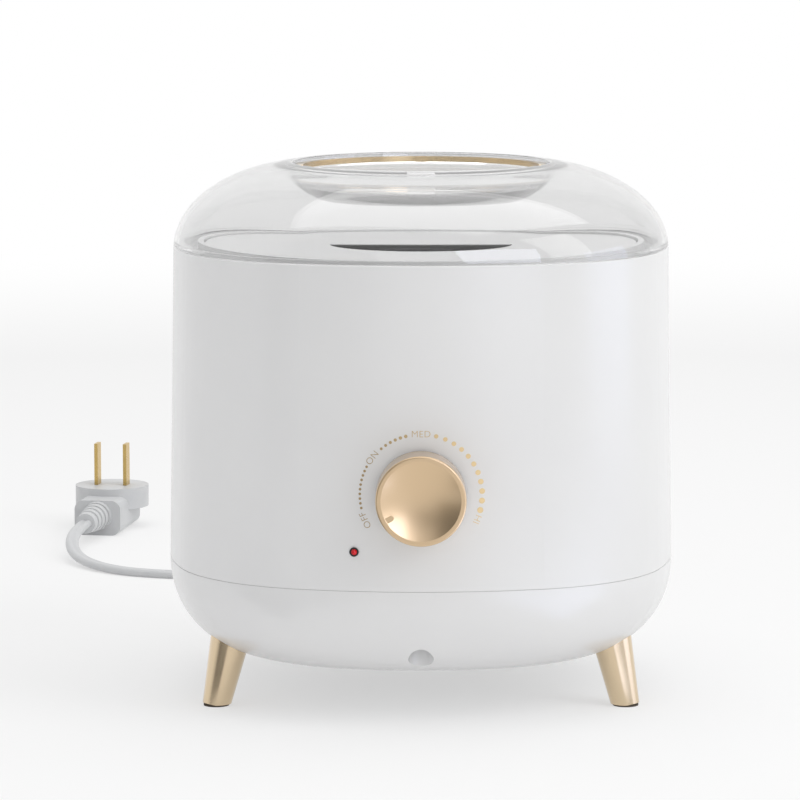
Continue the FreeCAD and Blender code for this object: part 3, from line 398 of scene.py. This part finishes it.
# Lid.
# One clear acrylic moulding: a dome with a dished finger recess, a steam slot and a skirt.
# It bends what is seen through it, so its wall is drawn here in fine rings.
LID_STEPS = 176
LID_HALF = 86.2
LID_SEAT = 156.05
CORNER_SHIFT = 0.264
CORNER_SHRINK = 0.3034
ROUNDEST = 0.02
DOME_CENTRE_R = 38.0
DOME_CENTRE_Z = 154.8
RIM_RADIUS = 46.0
SLOT_LOW = (-4.65, -47.0, 175.75)
SLOT_HIGH = (4.65, -38.0, 178.25)
PIN_SOCKET_HEIGHT = 182.15 * MM
PIN_SOCKET_RADIUS = 0.65 * MM
PIN_SOCKET_SPAN = 91.8 * MM


def squircle_reach(half, square, angle):
    """Distance from the axis to a bowed square's outline, in one direction."""
    square = max(square, ROUNDEST)
    shift = half * CORNER_SHIFT * square
    corner = half * (1 - CORNER_SHRINK * square)
    side = (corner ** 2 - shift ** 2 - (shift - half) ** 2) / (2 * (shift - half + corner))
    inset = side - half
    turn = abs((angle + math.pi / 4) % (math.pi / 2) - math.pi / 4)
    join = Vector((shift, shift)) + Vector((shift + inset, shift)).normalized() * corner
    if turn <= math.atan2(join.y, join.x):
        return math.sqrt(side ** 2 - (inset * math.sin(turn)) ** 2) - inset * math.cos(turn)
    diagonal = shift * math.sqrt(2)
    off = turn - math.pi / 4
    return diagonal * math.cos(off) + math.sqrt(corner ** 2 - (diagonal * math.sin(off)) ** 2)


def eased(start, corner, end, steps):
    """Points of a curve from start to end that bends round a corner, without its start."""
    points = []
    for i in range(1, steps + 1):
        t = i / steps
        near = Vector(start).lerp(Vector(corner), t)
        points.append(tuple(near.lerp(Vector(corner).lerp(Vector(end), t), t)))
    return points


def dome_curve(reach, rise, angle_from, angle_to, steps):
    """Points (half width, height) of a dome's section between two angles."""
    points = []
    for i in range(steps + 1):
        angle = angle_from + (angle_to - angle_from) * i / steps
        points.append((DOME_CENTRE_R + reach * math.cos(angle), DOME_CENTRE_Z + rise * math.sin(angle)))
    return points


def lid_section():
    """The wall's outline: recess floor, wall, rim, dome, foot, skirt, hollow and the recess's underside."""
    reach, rise = 48.2, 30.0
    inner_reach, inner_rise = 45.6, 27.4
    floor, floor_flat, floor_corner = 174.9, 30, 38
    under, under_flat, under_corner = 171.7, 26, 37.6
    wall_radius, wall_foot, wall_top = 44.6, 180, 182
    side_top = (42.6, 178.7)
    under_side_top = (44.6, 178.2)
    fillet_corner = (46.9, 180.9)
    rim_round = 1
    skirt_inner, skirt_outer = 81.6, 83.2
    skirt_low, ledge = 153.2, 157.2
    foot_round = 0.4
    fillet_end = 49.5
    rim_angle = math.acos((RIM_RADIUS - DOME_CENTRE_R) / reach)
    foot_angle = math.asin((LID_SEAT + foot_round - DOME_CENTRE_Z) / rise)
    ledge_angle = math.asin((ledge - DOME_CENTRE_Z) / inner_rise)
    fillet_angle = math.acos((fillet_end - DOME_CENTRE_R) / inner_reach)
    outside = dome_curve(reach, rise, rim_angle, foot_angle, 40)
    inside = dome_curve(inner_reach, inner_rise, ledge_angle, fillet_angle, 34)
    rim_top = outside[0][1]
    foot = outside[-1]
    line = [(floor_flat * i / 3, floor) for i in range(4)]
    line += eased((floor_flat, floor), (floor_corner, floor), side_top, 16)
    line += eased(side_top, (wall_radius, wall_foot), (wall_radius, wall_top), 8)
    rim_start = (wall_radius, rim_top - rim_round)
    line += eased(rim_start, (wall_radius, rim_top), (wall_radius + rim_round, rim_top), 8)
    line += outside
    line += eased(foot, (foot[0], LID_SEAT), (foot[0] - foot_round, LID_SEAT), 4)
    line += [(skirt_outer, LID_SEAT), (skirt_outer, skirt_low)]
    line += [(skirt_inner, skirt_low), (skirt_inner, ledge)]
    line += inside
    line += eased(inside[-1], fillet_corner, under_side_top, 8)
    line += eased(under_side_top, (under_corner, under), (under_flat, under), 18)
    line += [(18, under), (9, under), (0, under)]
    return line


def ringed_shell(name, section, steps):
    """A closed mesh of rings about the upright axis, round at the rim and bowed square at the foot."""
    mesh = bmesh.new()
    rings = []
    for half, height in section[1:-1]:
        square = min(1.0, (half - RIM_RADIUS) / (LID_HALF - RIM_RADIUS))
        ring = []
        for i in range(steps):
            angle = 2 * math.pi * i / steps
            reach = squircle_reach(half, square, angle)
            spot = Vector((reach * math.cos(angle), reach * math.sin(angle), height))
            ring.append(mesh.verts.new(spot * MM))
        rings.append(ring)
    for near, far in zip(rings, rings[1:]):
        for i in range(steps):
            j = (i + 1) % steps
            mesh.faces.new((near[i], near[j], far[j], far[i]))
    for ring, middle in ((rings[0], section[0]), (rings[-1], section[-1])):
        pole = mesh.verts.new((0, 0, middle[1] * MM))
        for i in range(steps):
            mesh.faces.new((ring[i], ring[(i + 1) % steps], pole))
    bmesh.ops.recalc_face_normals(mesh, faces=mesh.faces)
    data = bpy.data.meshes.new(name)
    mesh.to_mesh(data)
    mesh.free()
    made = bpy.data.objects.new(name, data)
    bpy.context.collection.objects.link(made)
    return made


def block(mesh, low, high):
    """Adds a box between two corners, in millimetres."""
    middle = (Vector(low) + Vector(high)) / 2 * MM
    size = (Vector(high) - Vector(low)) * MM
    bmesh.ops.create_cube(mesh, matrix=Matrix.LocRotScale(middle, None, size))


def cut_out(piece, tool):
    """Cuts a tool's shape out of a piece for good."""
    data = bpy.data.meshes.new("tool")
    tool.to_mesh(data)
    tool.free()
    holder = bpy.data.objects.new("tool", data)
    bpy.context.collection.objects.link(holder)
    cut = piece.modifiers.new("cut", "BOOLEAN")
    cut.operation = "DIFFERENCE"
    cut.object = holder
    bpy.context.view_layer.update()
    piece.data = bpy.data.meshes.new_from_object(piece.evaluated_get(bpy.context.evaluated_depsgraph_get()))
    piece.modifiers.clear()
    bpy.data.objects.remove(holder)


def clear_acrylic(name, colour):
    """Clear moulded acrylic: bright and glassy, with a slight haze and a trace of flow ripple."""
    ripple_mm = 60.0
    ripple_depth_mm = 0.002
    made, tree, shader = new_material(name)
    place = add(tree, "ShaderNodeTexCoord", {}).outputs["Object"]
    ripple = add(tree, "ShaderNodeTexNoise", {"Vector": place, "Scale": 1 / (ripple_mm * MM), "Detail": 1.0})
    bump = add(tree, "ShaderNodeBump", {"Height": ripple.outputs["Fac"], "Distance": ripple_depth_mm * MM})
    tree.links.new(bump.outputs["Normal"], shader.inputs["Normal"])
    shader.inputs["Base Color"].default_value = linear(colour)
    shader.inputs["Roughness"].default_value = 0.02
    shader.inputs["IOR"].default_value = 1.49
    shader.inputs["Transmission Weight"].default_value = 0.967
    return made


clear_lid = ringed_shell("clear_lid", lid_section(), LID_STEPS)
openings = bmesh.new()
block(openings, SLOT_LOW, SLOT_HIGH)
bmesh.ops.create_cone(
    openings,
    cap_ends=True,
    segments=24,
    radius1=PIN_SOCKET_RADIUS,
    radius2=PIN_SOCKET_RADIUS,
    depth=PIN_SOCKET_SPAN,
    matrix=Matrix.Translation((0, 0, PIN_SOCKET_HEIGHT)) @ Matrix.Rotation(math.pi / 2, 4, "Y"),
)
cut_out(clear_lid, openings)
clear_lid.data.shade_smooth()
clear_lid.data.set_sharp_from_angle(angle=math.radians(42))
clear_lid.data.materials.clear()
clear_lid.data.materials.append(clear_acrylic("clear_acrylic_lid", "#eeeeee"))
clear_lid.visible_shadow = False
clear_lid.visible_diffuse = False
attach(clear_lid, "lid")
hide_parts("lid_cover")


# Lid handle and its pins.
# A flat half ring in the same champagne plating, turning on two pins in the recess wall.
bright_gold = champagne_plating("champagne_plated_handle", "#e0c8a0", 0.2)
dress(bright_gold, "lid_handle", "handle_pins")


# Thermostat.
# A black phenolic control with a threaded bush, steel shaft and brass tabs behind the knob.
def moulded_black(name, colour):
    """Black moulded plastic with a spark-eroded grain."""
    grain_mm = 0.5
    grain_depth_mm = 0.03
    made, tree, shader = new_material(name)
    place = add(tree, "ShaderNodeTexCoord", {}).outputs["Object"]
    grain = add(tree, "ShaderNodeTexNoise", {"Vector": place, "Scale": 1 / (grain_mm * MM), "Detail": 3.0})
    bump = add(tree, "ShaderNodeBump", {"Height": grain.outputs["Fac"], "Distance": grain_depth_mm * MM})
    tree.links.new(bump.outputs["Normal"], shader.inputs["Normal"])
    shader.inputs["Base Color"].default_value = linear(colour)
    shader.inputs["Roughness"].default_value = 0.5
    return made


black_plastic = moulded_black("black_moulded_plastic", "#1d1c1c")
contact_brass = plated_steel("stamped_brass", "#cdb070", 0.3)
dress(black_plastic, "thermostat_body")
dress(zinc_steel, "thermostat_nut", "thermostat_shaft")
dress(contact_brass, "thermostat_tabs")


# Knob.
# A moulded knob with a dished face, plated champagne; a pill-shaped mark stands up from its rim.
knob_gold = champagne_plating("champagne_plated_knob", "#d0b591", 0.32)
dress(knob_gold, "knob", "knob_pointer")
dress(zinc_steel, "knob_clip")


# Indicator light.
# A red lens in a black snap-in holder, with a resistor board behind the wall.
LENS_LOW, LENS_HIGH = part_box("indicator_lens")
LENS_RADIUS = (LENS_HIGH.x - LENS_LOW.x) / 2
LENS_FRONT = ((LENS_LOW.x + LENS_HIGH.x) / 2, LENS_LOW.y, (LENS_LOW.z + LENS_HIGH.z) / 2)


def tinted_lens(name, core, edge):
    """Clear red acrylic with the LED's light painted in: colour and glow are brightest in the middle and
    fade to a deeper red at the rim.
    """
    core_edge = 0.4 * LENS_RADIUS
    rim_edge = 1.1 * LENS_RADIUS
    made, tree, shader = new_material(name)
    place = add(tree, "ShaderNodeTexCoord", {}).outputs["Object"]
    off = add(tree, "ShaderNodeVectorMath", {0: place, 1: LENS_FRONT}, operation="DISTANCE")
    # Painted light: the lens's colour and glow fade from the lit core to the darker rim with distance from
    # the lens's front.
    painted_glow_falloff = add(
        tree,
        "ShaderNodeMapRange",
        {"Value": off.outputs["Value"], "From Min": core_edge, "From Max": rim_edge},
    )
    colour = add(tree, "ShaderNodeMix", {"Factor": painted_glow_falloff.outputs["Result"]}, data_type="RGBA")
    colour.inputs["A"].default_value = linear(core)
    colour.inputs["B"].default_value = linear(edge)
    tree.links.new(colour.outputs["Result"], shader.inputs["Base Color"])
    tree.links.new(colour.outputs["Result"], shader.inputs["Emission Color"])
    shader.inputs["Emission Strength"].default_value = 0.42
    shader.inputs["Roughness"].default_value = 0.08
    shader.inputs["IOR"].default_value = 1.49
    return made


dress(black_plastic, "lamp_holder")
# The core red and the rim red are the two ends of the painted glow.
dress(tinted_lens("red_acrylic", "#bc0e18", "#700008"), "indicator_lens")
dress(rubber("green_laminate", "#1f5a35"), "lamp_board", "lamp_resistor")


# Mains entry.
# A soft boot in the base's back wall, then a clamp and a ceramic block on the floor inside.
def soft_pvc(name, pale, deep):
    """Soft grey PVC: a silky half gloss with slight clouding."""
    cloud_mm = 6.0
    grain_mm = 0.7
    grain_depth_mm = 0.01
    made, tree, shader = new_material(name)
    place = add(tree, "ShaderNodeTexCoord", {}).outputs["Object"]
    cloud = add(tree, "ShaderNodeTexNoise", {"Vector": place, "Scale": 1 / (cloud_mm * MM)})
    colour = add(tree, "ShaderNodeMix", {"Factor": cloud.outputs["Fac"]}, data_type="RGBA")
    colour.inputs["A"].default_value = linear(pale)
    colour.inputs["B"].default_value = linear(deep)
    grain = add(tree, "ShaderNodeTexNoise", {"Vector": place, "Scale": 1 / (grain_mm * MM)})
    bump = add(tree, "ShaderNodeBump", {"Height": grain.outputs["Fac"], "Distance": grain_depth_mm * MM})
    tree.links.new(colour.outputs["Result"], shader.inputs["Base Color"])
    tree.links.new(bump.outputs["Normal"], shader.inputs["Normal"])
    shader.inputs["Roughness"].default_value = 0.42
    return made


grey_pvc = soft_pvc("pale_grey_pvc", "#cfd0d1", "#c4c5c7")
dress(grey_pvc, "strain_relief", "cord_tail")
dress(moulded_abs("glazed_block", "#eceae2", "#e4e1d6", 0.2), "terminal_block")
dress(zinc_steel, "terminal_screws", "clamp_screws")
dress(black_plastic, "cord_clamp")
dress(needled_felt("braided_sleeving", "#dcd6c4", "#c9c0a8"), "live_lead", "switched_lead", "neutral_lead")


# Mains cord.
# A flat twin PVC cord, two round cores moulded side by side with a groove between them.
# It drops from the boot to the table and runs left behind the casing to the plug.
CORD_WIDTH = 5.4 * MM
CORD_THICKNESS = 3.2 * MM
LYING = CORD_THICKNESS / 2 / MM
CORD_POINTS_MM = [
    (0, 101.7, 38),
    (0, 125, 38),
    (11, 148, 28),
    (28, 170, 12),
    (34, 197, LYING),
    (18, 220, LYING),
    (-10, 228, LYING),
    (-40, 222, LYING),
    (-70, 214, LYING),
    (-101, 215, LYING),
    (-127, 227, LYING),
    (-143, 251, 3.2),
    (-146, 278, 8.5),
    (-142, 303, 8.5),
]


def cord_line(points_mm):
    """Points along one smooth NURBS line through the route."""
    curve = bpy.data.curves.new("cord_line", "CURVE")
    curve.dimensions = "3D"
    curve.resolution_u = 12
    spline = curve.splines.new("NURBS")
    spline.points.add(len(points_mm) - 1)
    for point, place in zip(spline.points, points_mm):
        point.co = (place[0] * MM, place[1] * MM, place[2] * MM, 1.0)
    spline.order_u = 3
    spline.use_endpoint_u = True
    holder = bpy.data.objects.new("cord_line", curve)
    bpy.context.collection.objects.link(holder)
    bpy.context.view_layer.update()
    mesh = bpy.data.meshes.new_from_object(holder.evaluated_get(bpy.context.evaluated_depsgraph_get()))
    line = [v.co.copy() for v in mesh.vertices]
    bpy.data.objects.remove(holder)
    return line


def twin_section():
    """The cord's outline: two round cores with a shallow groove, as (across, up) points."""
    core = CORD_THICKNESS / 2
    offset = CORD_WIDTH / 2 - core
    steps = 11
    reach = math.radians(118)
    outline = []
    for side in (1, -1):
        for i in range(steps):
            angle = -reach + 2 * reach * i / (steps - 1)
            outline.append((side * (offset + core * math.cos(angle)), side * core * math.sin(angle)))
    return outline


def swept(name, line, section):
    """A closed tube of a section along a line, kept level across."""
    mesh = bmesh.new()
    rings = []
    for i, place in enumerate(line):
        ahead = (line[min(i + 1, len(line) - 1)] - line[max(i - 1, 0)]).normalized()
        across = ahead.cross(Vector((0, 0, 1))).normalized()
        up = across.cross(ahead)
        rings.append([mesh.verts.new(place + across * a + up * b) for a, b in section])
    for near, far in zip(rings, rings[1:]):
        for i in range(len(section)):
            j = (i + 1) % len(section)
            mesh.faces.new((near[i], near[j], far[j], far[i]))
    mesh.faces.new(rings[0])
    mesh.faces.new(list(reversed(rings[-1])))
    bmesh.ops.recalc_face_normals(mesh, faces=mesh.faces)
    data = bpy.data.meshes.new(name)
    mesh.to_mesh(data)
    mesh.free()
    data.shade_smooth()
    data.set_sharp_from_angle(angle=math.radians(50))
    made = bpy.data.objects.new(name, data)
    bpy.context.collection.objects.link(made)
    return made


cord_path = cord_line(CORD_POINTS_MM)
mains_cord = swept("mains_cord", cord_path, twin_section())
mains_cord.data.materials.append(grey_pvc)
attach(mains_cord, "housing")
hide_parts("power_cord")


# Plug.
# A right-angled moulding on the cord's end with two flat brass blades.
dress(grey_pvc, "plug_body")
dress(contact_brass, "plug_pins")


# Floor, light and camera.
# A plain pale floor, a soft key from the right, a soft top light and a weak bounce from the floor.
# The surround is dimmer in front, as a room is behind a camera, and the cards show only in reflections.
def card(name, centre, size, facing, material):
    """A flat rectangle that faces a point."""
    mesh = bpy.data.meshes.new(name)
    x, y = size[0] / 2, size[1] / 2
    mesh.from_pydata([(-x, -y, 0), (x, -y, 0), (x, y, 0), (-x, y, 0)], [], [(0, 1, 2, 3)])
    mesh.materials.append(material)
    made = bpy.data.objects.new(name, mesh)
    bpy.context.collection.objects.link(made)
    direction = Vector(facing) - Vector(centre)
    turn = direction.to_track_quat("Z", "Y").to_matrix().to_4x4()
    made.matrix_world = Matrix.Translation(centre) @ turn
    return made


def seamless_paper(name, colour, far_colour):
    """Seamless studio paper: matt and pale, lit to an even white further off, with its shade lifted."""
    fibre_mm = 4.0
    fade_from = 0.30
    fade_to = 1.60
    shade_from = 0.06
    shade_to = 0.16
    shade_least = 0.55
    shade_lift = 0.55
    made, tree, shader = new_material(name)
    place = add(tree, "ShaderNodeTexCoord", {}).outputs["Object"]
    fibre = add(tree, "ShaderNodeTexNoise", {"Vector": place, "Scale": 1 / (fibre_mm * MM)})
    dull = add(tree, "ShaderNodeMapRange", {"Value": fibre.outputs["Fac"], "To Min": 0.85, "To Max": 0.95})
    tree.links.new(dull.outputs["Result"], shader.inputs["Roughness"])
    shader.inputs["Base Color"].default_value = linear(colour)
    shader.inputs["Specular IOR Level"].default_value = 0.0
    off = add(tree, "ShaderNodeVectorMath", {0: place}, operation="LENGTH")
    fade = add(
        tree,
        "ShaderNodeMapRange",
        {"Value": off.outputs["Value"], "From Min": fade_from, "From Max": fade_to},
        interpolation_type="SMOOTHSTEP",
    )
    ray = add(tree, "ShaderNodeLightPath", {})
    clear = add(
        tree,
        "ShaderNodeMapRange",
        {"Value": off.outputs["Value"], "From Min": shade_from, "From Max": shade_to, "To Min": shade_least},
        interpolation_type="SMOOTHSTEP",
    )
    mirrored = add(
        tree,
        "ShaderNodeMath",
        {0: clear.outputs["Result"], 1: ray.outputs["Is Glossy Ray"]},
        operation="MULTIPLY",
    )
    lit = add(
        tree,
        "ShaderNodeMath",
        {0: fade.outputs["Result"], 1: mirrored.outputs["Value"]},
        operation="MAXIMUM",
    )
    direct = add(
        tree,
        "ShaderNodeMath",
        {0: ray.outputs["Is Camera Ray"], 1: ray.outputs["Is Transmission Ray"]},
        operation="MAXIMUM",
    )
    lifted = add(tree, "ShaderNodeMath", {0: direct.outputs["Value"], 1: shade_lift}, operation="MULTIPLY")
    even = add(
        tree,
        "ShaderNodeMath",
        {0: lit.outputs["Value"], 1: lifted.outputs["Value"]},
        operation="MAXIMUM",
    )
    bright = add(tree, "ShaderNodeEmission", {"Color": linear(far_colour)})
    paper = add(
        tree,
        "ShaderNodeMixShader",
        {"Fac": even.outputs["Value"], 1: shader.outputs["BSDF"], 2: bright.outputs["Emission"]},
    )
    tree.links.new(paper.outputs["Shader"], tree.nodes["Material Output"].inputs["Surface"])
    return made


def glow(name, strength, colour="#ffffff"):
    """A plain glowing or dark surface, for what the metal and the gloss reflect."""
    made = bpy.data.materials.new(name)
    made.use_nodes = True
    tree = made.node_tree
    tree.nodes.clear()
    lit = add(tree, "ShaderNodeEmission", {"Color": linear(colour), "Strength": strength})
    add(tree, "ShaderNodeOutputMaterial", {"Surface": lit.outputs["Emission"]})
    return made


def reflected_card(name, centre, size, facing, material):
    """A card that shows in reflections alone."""
    made = card(name, centre, size, facing, material)
    made.visible_camera = False
    made.visible_diffuse = False
    made.visible_transmission = False
    made.visible_shadow = False


CASING_MIDDLE = (0, 0, 0.19)
KNOB_FRONT = (0, -0.1, 0.08)
STRIP_LIFT = 0.0005
STRIP_SIZE = (0.28, 0.18)
pale_paper = seamless_paper("pale_paper", "#ececec", "#ffffff")
card("floor", (0, 0, 0), (40.0, 40.0), (0, 0, 1), pale_paper)

dark_flag = glow("dark_flag", 0.16)
bright_flag = glow("bright_flag", 4.6, "#ebefff")
front_flag = glow("front_flag", 0.85)
side_flag = glow("side_flag", 2.5, "#dfe6ff")
reflected_card("dark_card", (-0.37, -0.54, 0.19), (0.52, 0.37), CASING_MIDDLE, dark_flag)
reflected_card("bright_card", (0.34, -0.78, 0.38), (0.36, 0.5), KNOB_FRONT, bright_flag)
reflected_card("front_card", (-0.03, -0.8, 0.46), (0.3, 0.4), KNOB_FRONT, front_flag)
reflected_card("side_card", (0.95, -0.12, 0.26), (0.6, 0.5), (0, 0, 0.2), side_flag)

dark_sheen = glow("dark_strip", 0.1)
bright_sheen = glow("bright_strip", 2.8, "#dfe6ff")
reflected_card("dark_strip", (-0.22, -0.19, STRIP_LIFT), STRIP_SIZE, (-0.22, -0.19, 1), dark_sheen)
reflected_card("bright_strip", (0.22, -0.19, STRIP_LIFT), STRIP_SIZE, (0.22, -0.19, 1), bright_sheen)


def area_light(name, place, target, size, power):
    """A rectangular lamp that faces a point."""
    light = bpy.data.lights.new(name, "AREA")
    light.shape = "RECTANGLE"
    light.size = size[0]
    light.size_y = size[1]
    light.energy = power
    lamp = bpy.data.objects.new(name, light)
    bpy.context.collection.objects.link(lamp)
    lamp.location = place
    lamp.rotation_euler = (Vector(target) - Vector(place)).to_track_quat("-Z", "Y").to_euler()
    return lamp


key_right = area_light("key_right", (1.3, -0.7, 1.1), (0, 0, 0.1), (0.9, 1.2), 9.2)
key_right.visible_glossy = False
area_light("top_soft", (0.1, 0.2, 1.7), (0, 0, 0.1), (1.6, 1.6), 10)
bounce = area_light("bounce", (-0.08, -0.22, 0.004), (-0.08, -0.2, 1), (0.8, 0.3), 0.14)
bounce.visible_camera = False
bounce.visible_glossy = False
bounce.visible_transmission = False

world = bpy.data.worlds.new("surround")
bpy.context.scene.world = world
world.use_nodes = True
surround = world.node_tree
surround.nodes.clear()
path = add(surround, "ShaderNodeLightPath", {})
seen = add(
    surround,
    "ShaderNodeMath",
    {0: path.outputs["Is Camera Ray"], 1: path.outputs["Is Glossy Ray"]},
    operation="MAXIMUM",
)
shown = add(
    surround,
    "ShaderNodeMath",
    {0: seen.outputs["Value"], 1: path.outputs["Is Transmission Ray"]},
    operation="MAXIMUM",
)
PURE_WHITE = linear("#ffffff")
FILL_STRENGTH = 0.66
FRONT_LEVEL = 0.42
FRONT_FROM = -0.75
FRONT_TO = -0.1
fill = add(surround, "ShaderNodeBackground", {"Color": PURE_WHITE, "Strength": FILL_STRENGTH})
direction = add(surround, "ShaderNodeTexCoord", {}).outputs["Generated"]
heading = add(surround, "ShaderNodeSeparateXYZ", {"Vector": direction})
room = add(
    surround,
    "ShaderNodeMapRange",
    {"Value": heading.outputs["Y"], "From Min": FRONT_FROM, "From Max": FRONT_TO, "To Min": FRONT_LEVEL},
    interpolation_type="SMOOTHSTEP",
)
level = add(
    surround,
    "ShaderNodeMix",
    {"Factor": path.outputs["Is Glossy Ray"], "A": 1.0, "B": room.outputs["Result"]},
)
white = add(surround, "ShaderNodeBackground", {"Color": PURE_WHITE, "Strength": level.outputs["Result"]})
either = add(
    surround,
    "ShaderNodeMixShader",
    {"Fac": shown.outputs["Value"], 1: fill.outputs["Background"], 2: white.outputs["Background"]},
)
add(surround, "ShaderNodeOutputWorld", {"Surface": either.outputs["Shader"]})

CAMERA_DISTANCE = 1.5
CAMERA_HEIGHT = 0.2948
CAMERA_PITCH = 7.38
FOCAL_PIXELS = 4314
PICTURE_PIXELS = 800
AXIS_PIXEL = 421
lens = bpy.data.cameras.new("camera")
lens.sensor_width = 36.0
lens.lens = lens.sensor_width * FOCAL_PIXELS / PICTURE_PIXELS
camera = bpy.data.objects.new("camera", lens)
bpy.context.collection.objects.link(camera)
lens.shift_x = (PICTURE_PIXELS / 2 - AXIS_PIXEL) / PICTURE_PIXELS
camera.location = (0, -CAMERA_DISTANCE, CAMERA_HEIGHT)
camera.rotation_euler = (math.radians(90 - CAMERA_PITCH), 0, 0)
bpy.context.scene.camera = camera
bpy.context.scene.view_settings.view_transform = "Standard"
